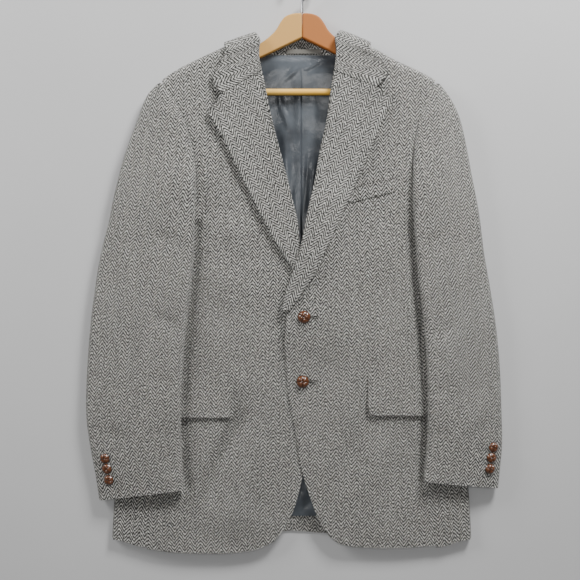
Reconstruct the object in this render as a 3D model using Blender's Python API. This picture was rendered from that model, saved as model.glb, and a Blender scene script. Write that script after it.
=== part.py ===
"""Two-button tweed jacket lying on its back, with a wooden trouser-bar hanger in its shoulders.

The pieces are drafted in millimetres: +X to the wearer's left, +Y from hem to collar, +Z up from the
surface that the jacket lies on. Cloth pieces are grids of points on their outer face, given a wall.
stand_on_origin() then moves the whole part so that its box is centred on X and Y, in metres.
"""

import math

import bpy
import numpy as np
from mathutils import Vector
from mathutils.bvhtree import BVHTree

MM = 0.001
SEAM = 0.3  # gap between pieces that are sewn or glued together
SIDE_SEAM = 0.4  # the same for the side seams
LINING_AIR = 0.6  # between the back and its lining
RIDGE_SEAM = 1.2  # half the gap of the shoulder seam at the outer face; its inner edges nearly touch
TWEED = 2.0  # wall of the tweed
SATIN = 1.0  # wall of the lining
TURN_GAP = 2.0  # air between a panel and the lapel or collar turned back over it
ROLL = TWEED + TURN_GAP / 2 + 0.4  # half thickness of the soft roll of a lapel or collar
FOOT = 8.0  # length of a lapel's inner layer, from the roll to where the front panel goes on
RIDGE = 13.0  # radius of the rounded shoulder edge, where front meets back
NECK_LIFT = 4.4  # the collar's fall lies under the back, and lifts it this far
SIDE_FRONT = 55.0  # from the side fold to the seam of the front and the side body
SIDE_BACK = 60.0  # from the side fold to the seam of the back and the side body
OVERLAP_LIFT = 2.6  # the left front lies on the right one
CROSSING_LIFT = 8.8  # and on the right lapel where the lapels cross
CENTRE = 12.0  # x of the middle of the neck and of the hanger


def table(names, *rows):
    """A short table: column names, then one row for each section."""
    return dict(zip(names.split(), np.array(rows, float).T))


# Thickness of the body, outside to outside, along its length.
BODY = table(
    "y middle side",
    (-410, 14, 11),
    (-200, 16, 12),
    (-76, 18, 12),
    (99, 24, 15),
    (200, 27, 20),
    (321, 29, 25),
    (400, 30, 25),
)
# The side folds of the body.
FOLD = table(
    "y left right",
    (-400, 274, -282),
    (-320, 270, -277),
    (-200, 259, -262),
    (-76, 250, -250),
    (99, 258, -258),
    (160, 262, -262),
    (400, 262, -262),
)
# The shoulder line, from sleeve head to neck to sleeve head.
SHOULDER = table(
    "x y",
    (-230, 300),
    (-205, 321),
    (-186, 334),
    (-144, 356),
    (-98, 376),
    (-57, 390),
    (12, 396),
    (67, 393),
    (111, 375),
    (162, 349),
    (195, 334),
    (218, 321),
    (245, 300),
)
NECK_POINT = {"left": np.array((67.0, 393.0)), "right": np.array((-57.0, 390.0))}
SHOULDER_TIP = {"left": np.array((218.0, 321.0)), "right": np.array((-205.0, 321.0))}

# Sleeves, from the head to the cuff: outer and inner edge in plan, how far the lower layer of the top
# sleeve reaches in from the outer edge, how much of the inner edge is turned under (0 at the armhole
# seam, 1 past the armpit), half the height of the inner fold, the height of the outer one, and the air
# under the sleeve.
SLEEVE = {
    "right": table(
        "outer_x outer_y inner_x inner_y under turned rise fold clear",
        (-211, 316, -200, 314, 8, 0, 2, 21, 0.6),
        (-228, 295, -181, 288, 36, 0, 5, 23, 0.6),
        (-247, 245, -164, 249, 60, 0, 7.5, 24, 0.6),
        (-262, 203, -152, 205, 74, 0, 8.5, 24, 0.6),
        (-272, 165, -149, 167, 72, 0.45, 8.5, 24, 0.6),
        (-279, 135, -150, 132, 52, 0.85, 7.5, 24, 0.6),
        (-285, 105, -151, 98, 17, 1, 7.5, 23, 0.6),
        (-297, 57, -153, 50, 14, 1, 7.5, 22, 0.8),
        (-306, 5, -157, 0, 14, 1, 7.5, 22, 2),
        (-314, -60, -165, -60, 14, 1, 7.5, 21, 4),
        (-319, -130, -170, -125, 14, 1, 7.5, 20, 4.5),
        (-320, -190, -172, -185, 14, 1, 7.5, 20, 4.5),
        (-314, -240, -172, -235, 14, 1, 7.5, 20, 2),
        (-306, -284, -170, -272, 12, 1, 7.5, 19, 1.4),
        (-300, -323, -166, -304, 10, 1, 7.5, 18, 1.4),
    ),
    "left": table(
        "outer_x outer_y inner_x inner_y under turned rise fold clear",
        (224, 316, 213, 313, 8, 0, 2, 21, 0.6),
        (241, 293, 202, 288, 32, 0, 5, 23, 0.6),
        (255, 262, 189, 256, 50, 0, 7.5, 24, 0.6),
        (266, 214, 182, 214, 66, 0, 8.5, 24, 0.6),
        (274, 170, 180, 168, 66, 0.45, 8.5, 24, 0.6),
        (281, 135, 180, 132, 48, 0.85, 7.5, 24, 0.6),
        (286, 105, 182, 98, 17, 1, 7.5, 23, 0.6),
        (292, 57, 186, 50, 14, 1, 7.5, 22, 0.8),
        (301, 5, 191, 0, 14, 1, 7.5, 22, 2),
        (311, -60, 198, -60, 14, 1, 7.5, 21, 4),
        (317, -130, 202, -125, 14, 1, 7.5, 20, 4.5),
        (319, -190, 203, -185, 14, 1, 7.5, 20, 4.5),
        (320, -235, 202, -232, 14, 1, 7.5, 20, 2),
        (317, -272, 199, -264, 12, 1, 7.5, 19, 1.4),
        (314, -304, 197, -292, 10, 1, 7.5, 18, 1.4),
    ),
}
ARMPIT_ROW = 6  # the first row of each sleeve table where the tube is closed

# Lapels, from the break at the upper button to the gorge: roll edge and free edge in plan. The free
# edge's last rows run from the lapel's point up to the notch.
LAPEL = {
    "right": table(
        "roll_x roll_y edge_x edge_y",
        (35, -28, 22, -26),
        (26, 3, 8, 12),
        (18, 32, -8, 40),
        (9, 72, -31, 77),
        (5, 106, -52, 116),
        (-3, 140, -68, 148),
        (-13, 180, -84, 178),
        (-24, 222, -104, 222),
        (-33, 257, -122, 254),
        (-38, 278, -130, 270),
        (-43, 305, -119, 285),
        (-49, 333, -111, 297),
    ),
    "left": table(
        "roll_x roll_y edge_x edge_y",
        (-19, -30, -5, -30),
        (-13, -2, 17, 2),
        (-2, 28, 38, 34),
        (8, 62, 52, 68),
        (15, 94, 67, 101),
        (22, 128, 84, 138),
        (31, 168, 100, 174),
        (39, 214, 120, 220),
        (47, 249, 140, 268),
        (51, 272, 150, 287),
        (55, 303, 137, 298),
        (60, 333, 126, 307),
    ),
}
# The collar on the front of the jacket, from the gorge up to the shoulder: roll, fall edge, stand.
COLLAR_FRONT = {
    "right": table(
        "roll_x roll_y edge_x edge_y stand",
        (-49.5, 334, -111, 298, 8),
        (-51, 343, -124, 317, 10),
        (-53, 354, -118, 335, 14),
        (-53, 366, -112, 347, 20),
    ),
    "left": table(
        "roll_x roll_y edge_x edge_y stand",
        (60.5, 334, 126, 308, 8),
        (61.5, 343, 142, 329, 10),
        (63, 356, 134, 343, 14),
        (63, 368, 126, 352, 20),
    ),
}
# The collar round the shoulder edge: angle from under the back to the front, fall, stand.
COLLAR_TURN = table(
    "angle fall stand",
    (90, 59, 27),
    (45, 55, 28),
    (0, 51, 28),
    (-45, 48, 28),
    (-90, 46, 29),
)
# The collar behind the neck.
COLLAR_BACK = table(
    "roll_x roll_y edge_x edge_y stand",
    (-36, 385, -64, 350, 29),
    (-13, 390, -28, 345, 29),
    (12, 391, 12, 344, 29),
    (37, 390, 52, 345, 29),
    (47, 387, 74, 351, 29),
)
# Where each front's edge runs, from the round corner of the hem up to the break.
FRONT_EDGE = {
    "right": ((-31, -386), (-13, -363), (0, -335), (9, -303), (17, -262), (27, -200), (34, -120), (36, -60)),
    "left": ((53, -377), (38, -354), (28, -328), (19, -302), (11, -272), (3, -223), (-8, -160), (-14, -80)),
}
FRONT_HEM = {
    "right": ((-31, -386), (-50, -396), (-83, -403), (-144, -405), (-200, -402), (-226.6, -398)),
    "left": ((53, -377), (67, -388), (84, -393), (116, -396), (170, -396), (218.6, -393)),
}
# The front armhole, from the side seam to the first turned-under row of the sleeve.
ARMHOLE_FRONT = {
    "right": ((-203, 104), (-187, 121), (-166, 142), (-151, 170)),
    "left": ((203, 104), (200, 121), (190, 142), (181, 172)),
}
BACK_HEM = {
    "right": ((-3, -372), (-80, -378), (-150, -384), (-221, -388)),
    "left": ((-3, -372), (70, -378), (140, -384), (213, -386)),
}
CENTRE_BACK = ((-3, -372), (6, -100), (10, 150), (12, 361))
# Hem and top of the side body, from its seam under the back, round the fold, to its seam on the front.
SIDE_LOW = (-386, -385, -384, -382, -382, -381, -381, -381, -384, -384, -388, -393, -396)
SIDE_HIGH = (152, 131, 112, 99, 99, 99, 99, 99, 99, 99, 100, 101, 103)
SIDE_ROWS = 11
LINING_EDGE = {
    "right": ((-195, -349), (-182, -76), (-186, 60), (-150, 190), (-122, 330)),
    "left": ((192, -349), (182, -76), (186, 60), (168, 190), (140, 330)),
}
PLEAT_CREASE = 9.5  # x of the pleat's folded edge
PLEAT_HEIGHT = 3.0
PLEAT_WIDTH = 26.0
LOOP = ((-11, 364), (42, 371))  # two corners of the hanger loop
LOOP_BOW = 1.2

FLAP_LENGTH = 132.0
FLAP_DEPTH = 63.0
FLAP_CORNER = {"right": (-91, -133), "left": (112, -130)}  # upper corner nearest the buttons
FLAP_WALL = 2.5
WELT = ((82, 154.5), (150, 172))  # upper edge of the breast welt
WELT_DEPTH = 22.0
WELT_WALL = 1.0

FRONT_BUTTONS = {"button_front_upper": (15, -41), "button_front_lower": (13, -140)}
FRONT_BUTTON_RADIUS = 10.0
CUFF_BUTTON_RADIUS = 8.0
CUFF_BUTTONS = {
    "right": ((-289, -257), (-286, -273), (-283, -290)),
    "left": ((304, -240), (301, -256), (299, -273)),
}

HANGER_Z = 9.8  # underside of the wood, clear of the stand and the loop
HANGER_WALL = 11.0
HANGER_SLOPE = math.radians(25.5)
HANGER_REACH = 190.0  # from the centre joint to the end of an arm, along X
HANGER_APEX_Y = 386.0  # underside of the wood at the centre joint
HANGER_DEPTH = 20.0  # height of an arm in plan
HANGER_HEAD = (424, 25, 405, 32)  # top of the head, its half width, its foot, half width there
BAR_RADIUS = 5.0
BAR_Y = 303.5
HOOK_RADIUS = 21.0
HOOK_WIRE = 1.9
HOOK_SHANK = 22.0
HOOK_BEND = 6.0

COLOURS = {
    "tweed": ((0.21, 0.21, 0.20), 0.95, 0.0),
    "satin": ((0.14, 0.15, 0.17), 0.35, 0.0),
    "leather": ((0.16, 0.06, 0.03), 0.4, 0.0),
    "wood_light": ((0.62, 0.40, 0.16), 0.45, 0.0),
    "wood_dark": ((0.45, 0.24, 0.08), 0.45, 0.0),
    "steel": ((0.6, 0.6, 0.6), 0.25, 1.0),
}


# Curves and surfaces


def ease(x):
    """Smooth step from 0 to 1."""
    t = np.clip(x, 0.0, 1.0)
    return t * t * (3 - 2 * t)


def smooth(at, knots, values):
    """Cubic curve through a table's values."""
    slopes = np.gradient(values, knots)
    i = np.clip(np.searchsorted(knots, at) - 1, 0, len(knots) - 2)
    span = knots[i + 1] - knots[i]
    t = np.clip((at - knots[i]) / span, 0.0, 1.0)
    rise = values[i + 1] - values[i]
    a = slopes[i] * span - rise
    b = rise - slopes[i + 1] * span
    return values[i] + t * rise + t * (1 - t) * ((1 - t) * a + t * b)


def fractions(points):
    """Arc length from the start to each point, as a fraction of the whole."""
    steps = np.linalg.norm(np.diff(points, axis=0), axis=1)
    return np.concatenate(([0.0], np.cumsum(steps))) / steps.sum()


def resample(points, at):
    """Points of a polyline at given fractions of its length."""
    points = np.asarray(points, float)
    knots = fractions(points)
    return np.stack([np.interp(at, knots, points[:, k]) for k in range(points.shape[1])], 1)


def through(points, at):
    """Points of a smooth curve through the given points, at given fractions of its length."""
    points = np.asarray(points, float)
    knots = fractions(points)
    fine = np.linspace(0, 1, 20 * len(points))
    curve = np.stack([smooth(fine, knots, points[:, k]) for k in range(points.shape[1])], 1)
    return resample(curve, at)


def patch(bottom, top, inner, outer):
    """Coons patch in plan: rows run from bottom to top, and columns from inner to outer."""
    v = ((fractions(inner) + fractions(outer)) / 2)[:, None, None]
    u = ((fractions(bottom) + fractions(top)) / 2)[None, :, None]
    lengthwise = (1 - v) * bottom[None] + v * top[None]
    crosswise = (1 - u) * inner[:, None] + u * outer[:, None]
    corners = (1 - v) * ((1 - u) * bottom[0] + u * bottom[-1]) + v * ((1 - u) * top[0] + u * top[-1])
    return lengthwise + crosswise - corners


def plan(tab, x, y):
    """The points of two columns of a table."""
    return np.stack([tab[x], tab[y]], 1)


def unit(vectors):
    return vectors / np.linalg.norm(vectors, axis=-1, keepdims=True)


def fold_x(x, y):
    """Distance from the middle to the side fold on the side that x lies on."""
    left = smooth(y, FOLD["y"], FOLD["left"])
    right = -smooth(y, FOLD["y"], FOLD["right"])
    return np.where(x > 0, left, right)


def inside(x, y):
    """Distance in from the side fold."""
    return fold_x(x, y) - np.abs(x)


def full_height(x, y):
    """Height of the fronts, before the rounding at the side fold and the shoulder."""
    middle = smooth(y, BODY["y"], BODY["middle"])
    side = smooth(y, BODY["y"], BODY["side"])
    return side + (middle - side) * ease(inside(x, y) / 130)


def ridge_distance(x, y):
    """Distance in from the shoulder line."""
    return (smooth(x, SHOULDER["x"], SHOULDER["y"]) - y) * math.cos(HANGER_SLOPE)


def rounding(distance, radius):
    """Quarter circle: 0 at an edge, 1 from the radius on."""
    return np.sqrt(1 - (1 - np.clip(distance / radius, 0, 1)) ** 2)


def neck_lift(x, y):
    """The back is lifted where the collar's fall lies under it."""
    return NECK_LIFT * ease((y - 275) / 66) * ease((152 - np.abs(x - CENTRE)) / 40)


def front_z(x, y):
    """Outer face of the fronts."""
    low = neck_lift(x, y)
    high = full_height(x, y)
    seam = (low + high) / 2 + RIDGE_SEAM
    return seam + (high - seam) * rounding(ridge_distance(x, y), RIDGE)


def back_z(x, y):
    """Outer face of the back, which is its underside."""
    low = neck_lift(x, y)
    seam = (low + full_height(x, y)) / 2 - RIDGE_SEAM
    return seam - (seam - low) * rounding(ridge_distance(x, y), RIDGE)


def overlap(x, y):
    """How far the left front is lifted by the right front and lapel under it."""
    crossing = ease((y + 130) / 80) * ease((200 - y) / 80)
    lift = OVERLAP_LIFT + (CROSSING_LIFT - OVERLAP_LIFT) * crossing
    return lift * ease((105 - x) / 50) * ease((240 - y) / 110)


def panel_z(side, x, y):
    """Outer face of one front, with the overlap of the left one."""
    return front_z(x, y) + (overlap(x, y) if side == "left" else 0.0)


def with_z(points, height):
    """Plan points lifted to a height function."""
    z = height(points[..., 0], points[..., 1])
    return np.concatenate([points, z[..., None]], -1)


# Meshes


def add_object(name, verts, faces, material):
    """A mesh object from points in millimetres."""
    mesh = bpy.data.meshes.new(name)
    mesh.from_pydata((np.asarray(verts) * MM).tolist(), [], faces)
    mesh.materials.append(surface(material))
    mesh.validate()
    mesh.shade_smooth()
    mesh.set_sharp_from_angle(angle=math.radians(40))
    obj = bpy.data.objects.new(name, mesh)
    bpy.context.scene.collection.objects.link(obj)
    return obj


def surface(name):
    """The piece's material, made once."""
    material = bpy.data.materials.get(name)
    if material is None:
        colour, roughness, metallic = COLOURS[name]
        material = bpy.data.materials.new(name)
        material.use_nodes = True
        shader = material.node_tree.nodes["Principled BSDF"]
        shader.inputs["Base Color"].default_value = (*colour, 1)
        shader.inputs["Roughness"].default_value = roughness
        shader.inputs["Metallic"].default_value = metallic
    return material


def grid_normals(grid):
    """Unit normals of a grid of points."""
    along = np.gradient(grid, axis=0)
    across = np.gradient(grid, axis=1)
    return unit(np.cross(along, across))


def signed_volume(verts, faces):
    """Volume of a closed mesh of quads, positive when the faces point out."""
    verts = np.asarray(verts)
    a, b, c, d = (verts[np.array(faces)[:, k]] for k in range(4))
    return float((np.cross(a, b) * c + np.cross(a, c) * d).sum()) / 6


def cloth(name, grid, wall, outward, material="tweed"):
    """Closed wall behind a grid of outer points. outward points out of the last column's outer face."""
    rows, columns = grid.shape[:2]
    normals = grid_normals(grid)
    if normals[rows // 2, -1] @ np.asarray(outward, float) < 0:
        normals = -normals
    verts = np.concatenate([grid.reshape(-1, 3), (grid - normals * wall).reshape(-1, 3)])
    index = np.arange(rows * columns).reshape(rows, columns)
    quads = np.stack([index[:-1, :-1], index[:-1, 1:], index[1:, 1:], index[1:, :-1]], -1).reshape(-1, 4)
    border = np.concatenate([index[0], index[1:, -1], index[-1, -2::-1], index[-2:0:-1, 0]])
    follow = np.roll(border, -1)
    count = rows * columns
    rim = np.stack([border, border + count, follow + count, follow], -1)
    faces = np.concatenate([quads, quads[:, ::-1] + count, rim])
    if signed_volume(verts, faces) < 0:
        faces = faces[:, ::-1]
    return add_object(name, verts, faces.tolist(), material)


def prism(name, outline, low, high, material):
    """Upright solid on a plan outline."""
    count = len(outline)
    verts = [(x, y, low) for x, y in outline] + [(x, y, high) for x, y in outline]
    faces = [tuple(range(count))[::-1], tuple(range(count, 2 * count))]
    faces += [(i, (i + 1) % count, (i + 1) % count + count, i + count) for i in range(count)]
    return add_object(name, verts, faces, material)


# The body


def sleeve_rows(side):
    """Outer edge, inner edge, direction inwards and width of each sleeve row."""
    rows = SLEEVE[side]
    outer = plan(rows, "outer_x", "outer_y")
    inner = plan(rows, "inner_x", "inner_y")
    inwards = unit(inner - outer)
    width = np.linalg.norm(inner - outer, axis=1)
    return outer, inner, inwards, width


def sign(side):
    return 1 if side == "left" else -1


def seam_line(side, reach, levels):
    """A lengthwise seam at a distance in from the side fold."""
    levels = np.asarray(levels, float)
    x = sign(side) * (fold_x(np.full(len(levels), float(sign(side))), levels) - reach)
    return np.stack([x, levels], 1)


def front_outer(side):
    """Side seam of the front, then its armhole up to the shoulder."""
    levels = np.linspace(SIDE_LOW[-1], SIDE_HIGH[-1], SIDE_ROWS)[1:-1]
    hem = np.array(FRONT_HEM[side][-1])
    seam = seam_line(side, SIDE_FRONT + SIDE_SEAM, levels)
    inner, inwards = sleeve_rows(side)[1:3]
    head = (inner + inwards * SEAM)[3::-1]
    tip = SHOULDER_TIP[side] - (2.0 * sign(side), 0)
    return np.concatenate([[hem], seam, ARMHOLE_FRONT[side], head, [tip]])


def lapel_rows(side):
    rows = LAPEL[side]
    roll = plan(rows, "roll_x", "roll_y")
    edge = plan(rows, "edge_x", "edge_y")
    return roll, edge


def neck_stations(side, extra=2 * SEAM):
    """Where the collar's stand ends, from the gorge to the shoulder line."""
    rows = COLLAR_FRONT[side]
    roll = plan(rows, "roll_x", "roll_y")
    out = unit(plan(rows, "edge_x", "edge_y") - roll)
    front = roll + out * (rows["stand"] + extra)[:, None]
    along, inwards = shoulder_frame(side)
    stand = COLLAR_TURN["stand"][2] + extra
    top = NECK_POINT[side] + inwards * RIDGE + along * (stand - 1)
    ridge = NECK_POINT[side] + along * stand
    ridge[1] = smooth(ridge[0], SHOULDER["x"], SHOULDER["y"])
    return np.concatenate([front[1:], [top, ridge]])


def shoulder_frame(side):
    """Direction from neck to sleeve head, and from the shoulder line into the body."""
    along = unit(SHOULDER_TIP[side] - NECK_POINT[side])
    inwards = np.array((-along[1], along[0]))
    return along, inwards * (-1 if inwards[1] > 0 else 1)


def front_inner(side):
    """Front edge, roll line (set in by the lapel's foot) and neck of the front."""
    roll, edge = lapel_rows(side)
    set_in = roll + unit(edge - roll) * (FOOT + 4 * SEAM)
    return np.concatenate([FRONT_EDGE[side], set_in, neck_stations(side)])


def build_front(side):
    outer = front_outer(side)
    inner = through(front_inner(side), fractions(outer))
    columns = np.linspace(0, 1, 12)
    hem = through(FRONT_HEM[side], columns)
    shoulder_x = inner[-1, 0] + (outer[-1, 0] - inner[-1, 0]) * columns
    shoulder = np.stack([shoulder_x, smooth(shoulder_x, SHOULDER["x"], SHOULDER["y"])], 1)
    outer[-1], inner[-1] = shoulder[-1], shoulder[0]
    grid = patch(hem, shoulder, inner, outer)
    cloth("front_" + side, with_z(grid, lambda x, y: panel_z(side, x, y)), TWEED, (0, 0, 1))


def back_outer(side):
    """Side seam of the back, then its armhole up to the shoulder."""
    levels = np.linspace(SIDE_LOW[0], SIDE_HIGH[0], SIDE_ROWS)[1:]
    hem = np.array(BACK_HEM[side][-1], float)
    seam = seam_line(side, SIDE_BACK + SIDE_SEAM, levels)
    outer, _, inwards, _ = sleeve_rows(side)
    reach = SLEEVE[side]["under"] + SEAM
    head = (outer + inwards * reach[:, None])[4::-1]
    tip = SHOULDER_TIP[side] - (2.0 * sign(side), 0)
    return np.concatenate([[hem], seam, head, [tip]])


def back_neck(side):
    """Neck edge of the back, along the end of the collar's stand, from the middle to the shoulder line."""
    rows = COLLAR_BACK
    roll = plan(rows, "roll_x", "roll_y")
    down = unit(plan(rows, "edge_x", "edge_y") - roll)
    ends = roll + down * (rows["stand"] + 4 * SEAM)[:, None]
    ends = ends[2:] if side == "left" else ends[2::-1]
    ends[0, 0] += SEAM / 2 * sign(side)
    along, inwards = shoulder_frame(side)
    turn = NECK_POINT[side] + inwards * RIDGE + along * (COLLAR_TURN["stand"][-1] + 4 * SEAM)
    return np.concatenate([ends, [turn, neck_stations(side, 3 * SEAM)[-1]]])


def build_back(side):
    outer = back_outer(side)
    centre = np.array(CENTRE_BACK, float) + (SEAM / 2 * sign(side), 0)
    inner = through(centre, fractions(outer))
    columns = np.linspace(0, 1, 11)
    hem = through(BACK_HEM[side], columns)
    hem[:, 0] += SEAM / 2 * sign(side) * (1 - columns)
    neck = back_neck(side)
    ridge_x = np.linspace(neck[-1][0], outer[-1, 0], 6)[1:]
    ridge = np.stack([ridge_x, smooth(ridge_x, SHOULDER["x"], SHOULDER["y"])], 1)
    top = resample(np.concatenate([neck, ridge]), columns)
    inner[-1], outer[-1] = top[0], top[-1]
    grid = patch(hem, top, inner, outer)
    cloth("back_" + side, with_z(grid, back_z), TWEED, (0, 0, -1))


def build_side(side):
    """The side body: from its seam under the back, round the side fold, to its seam on the front."""
    turns = np.radians((-90, -60, -30, 0, 30, 60, 90))
    under = SIDE_BACK, 38.0, 22.0
    over = 22.0, 38.0, SIDE_FRONT
    levels = np.linspace(SIDE_LOW, SIDE_HIGH, SIDE_ROWS)
    grid = np.zeros((*levels.shape, 3))
    for row, y in enumerate(levels):
        edge = fold_x(np.full(len(y), float(sign(side))), y)
        half = smooth(y, BODY["y"], BODY["side"]) / 2
        reach = np.concatenate([under, half[3:10] * (1 - np.cos(turns)), over])
        x = sign(side) * (edge - reach)
        top = full_height(x, y)
        z = np.concatenate([np.zeros(3), (half[3:10] * (1 + np.sin(turns))), top[10:]])
        grid[row] = np.stack([x, y, z], 1)
    cloth("side_" + side, grid, TWEED, (0, 0, 1))


# Lapels and collar


def turned_section(fall, stand, fat=ROLL):
    """Distances from the roll's edge and offsets from the middle layer: free edge, roll, foot."""
    flat = TWEED + TURN_GAP / 2
    turn = np.radians((50, 15, -15, -50))
    over = np.array((fall, fall * 0.66 + fat * 0.34, max(fall * 0.33, 2 * fat), fat))
    under = np.array((fat, (fat + stand) / 2, stand))
    distance = np.concatenate([over, fat * (1 - np.cos(turn)), under])
    layer = np.concatenate([np.full(3, flat), [fat], fat * np.sin(turn), [-fat], np.full(2, -flat)])
    return distance, layer


def build_lapel(side):
    roll, edge = lapel_rows(side)
    out = unit(edge - roll)
    width = np.linalg.norm(edge - roll, axis=1)
    grid = []
    for start, way, fall in zip(roll, out, width):
        distance, layer = turned_section(fall, min(FOOT, fall - 1))
        points = start + way * distance[:, None]
        z = panel_z(side, points[:, 0], points[:, 1]) + TURN_GAP / 2 + layer
        grid.append(np.column_stack([points, z]))
    cloth("lapel_" + side, np.array(grid), TWEED, (0, 0, -1))


def collar_rows(side):
    """Rows of the collar from the gorge to under the back, for one side."""
    rows = COLLAR_FRONT[side]
    roll = plan(rows, "roll_x", "roll_y")
    edge = plan(rows, "edge_x", "edge_y")
    grid = []
    for start, end, stand in zip(roll, edge, rows["stand"]):
        fall = np.linalg.norm(end - start)
        distance, layer = turned_section(fall, stand)
        points = start + (end - start) / fall * distance[:, None]
        z = front_z(points[:, 0], points[:, 1]) + TURN_GAP / 2 + layer
        grid.append(np.column_stack([points, z]))
    along, inwards = shoulder_frame(side)
    neck = NECK_POINT[side]
    base = (front_z(*(neck + inwards * RIDGE)) + back_z(*(neck + inwards * RIDGE))) / 2
    for angle, fall, stand in zip(*(COLLAR_TURN[k] for k in ("angle", "fall", "stand"))):
        turn = math.radians(angle)
        distance, layer = turned_section(fall, stand)
        reach = RIDGE + TURN_GAP / 2 + layer
        straight = neck + along * distance[:, None]
        axis = straight + inwards * RIDGE
        axis[:, 1] += smooth(axis[:, 0], SHOULDER["x"], SHOULDER["y"]) - straight[:, 1]
        points = axis - inwards * reach[:, None] * math.cos(turn)
        grid.append(np.column_stack([points, base + reach * math.sin(turn)]))
    return grid


def build_collar():
    rows = COLLAR_BACK
    roll = plan(rows, "roll_x", "roll_y")
    edge = plan(rows, "edge_x", "edge_y")
    back = []
    for start, end, stand in zip(roll, edge, rows["stand"]):
        fall = np.linalg.norm(end - start)
        distance, layer = turned_section(fall, stand)
        points = start + (end - start) / fall * distance[:, None]
        back.append(np.column_stack([points, NECK_LIFT - TURN_GAP / 2 - layer]))
    grid = np.array(collar_rows("right") + back + collar_rows("left")[::-1])
    cloth("collar", grid, TWEED, (0, 0, 1))


# Sleeves


def sleeve_section(side, row):
    """One row of the top sleeve: distance in from the outer edge, and height of the outer face."""
    rows = SLEEVE[side]
    outer, inner, _, width = (part[row] for part in sleeve_rows(side))
    turned = rows["turned"][row]
    fold = rows["fold"][row] / 2
    rest = front_z(*inner) + min(1.0, 4 * turned) * rows["clear"][row]
    round_out = min(10.0, width / 2.2)
    round_in = min(11.0 - 2 * turned, width / 2.5)
    rise = rows["rise"][row]
    low_turn = -math.pi / 2 * turned
    centre = rest - rise * math.sin(low_turn)
    angles = np.linspace(low_turn, math.pi / 2, 5)
    in_r = width - round_in + round_in * np.cos(angles)
    in_z = centre + rise * np.sin(angles)
    foot_r = in_r[0] - 1.0 - 14.0 * turned
    foot_z = in_z[0] - 2.5 * (1 - turned)
    s = np.linspace(0, 1, 6)[1:-1]
    top_r = (width - round_in) + (round_out - width + round_in) * s
    top_z = in_z[-1] + (2 * fold - in_z[-1]) * s + 3.0 * np.sin(math.pi * s)
    out_angles = np.radians((90, 45, 0, -45, -90))
    out_r = round_out * (1 - np.cos(out_angles))
    out_z = fold * (1 + np.sin(out_angles))
    under = max(rows["under"][row], round_out + 1)
    r = np.concatenate([[foot_r], in_r, top_r, out_r, [under]])
    z = np.concatenate([[foot_z], in_z, top_z, out_z, [0.0]])
    return r, z


def build_sleeve_top(side):
    outer, _, inwards, _ = sleeve_rows(side)
    grid = []
    for row in range(len(outer)):
        r, z = sleeve_section(side, row)
        grid.append(np.column_stack([outer[row] + inwards[row] * r[:, None], z]))
    cloth("sleeve_top_" + side, np.array(grid), TWEED, (0, 0, -1))


def build_sleeve_under(side):
    """The strip between the two seams of the top sleeve, lying on the front and over the side fold."""
    outer, _, inwards, _ = sleeve_rows(side)
    rows = SLEEVE[side]
    grid = []
    for row in range(ARMPIT_ROW, len(outer)):
        section, _ = sleeve_section(side, row)
        start = section[-1] + SEAM
        end = section[0] - SEAM
        share = np.array((0, 0.09, 0.18, 0.3, 0.45, 0.7, 1))
        r = np.concatenate([[start], start + 3 + (end - start - 3) * share])
        points = outer[row] + inwards[row] * r[:, None]
        x, y = points[:, 0], points[:, 1]
        edge = np.interp(0, inside(x, y), r)
        ramp = max(start + 3, edge - 30)
        cover = ease((r - ramp) / (edge - 1 - ramp))
        z = cover * (full_height(x, y) + rows["clear"][row])
        grid.append(np.column_stack([points, z]))
    cloth("sleeve_under_" + side, np.array(grid), TWEED, (0, 0, -1))


# Small cloth pieces


def build_flap(side):
    """Pocket flap with rounded lower corners, lying on the front."""
    x0, y0 = FLAP_CORNER[side]
    across = np.linspace(0, 1, 9)
    depth = FLAP_DEPTH - 7.0 * (np.abs(2 * across - 1) ** 16)
    rows = np.linspace(0, 1, 4)[:, None]
    shrink = 1 - 2.0 / FLAP_LENGTH * rows ** 6
    x = x0 + sign(side) * FLAP_LENGTH * (0.5 + (across[None] - 0.5) * shrink)
    y = y0 - rows * depth[None]
    points = np.stack([x, y], -1)
    lift = SEAM + FLAP_WALL
    cloth("flap_" + side, with_z(points, lambda a, b: panel_z(side, a, b) + lift), FLAP_WALL, (0, 0, 1))


def build_welt():
    start, end = (np.array(p, float) for p in WELT)
    across = np.linspace(0, 1, 6)[None, :, None]
    rows = np.linspace(0, 1, 3)[:, None, None]
    points = start + (end - start) * across + rows * np.array((1.5, -WELT_DEPTH))
    lift = 2 * SEAM + WELT_WALL
    cloth("breast_welt", with_z(points, lambda x, y: panel_z("left", x, y) + lift), WELT_WALL, (0, 0, 1))


def lining_z(x, y):
    """Upper face of the back lining, with the ease pleat stepping down just left of the middle."""
    flat = neck_lift(x, y) + TWEED + LINING_AIR * (1 + 2 * ease((y - 235) / 50)) + SATIN
    from_crease = PLEAT_CREASE - x
    pleat = ease(1 - from_crease / PLEAT_WIDTH) * ease((from_crease + 3) / 3)
    return flat + PLEAT_HEIGHT * pleat * ease((352 - y) / 60) * ease((y + 345) / 120)


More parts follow.
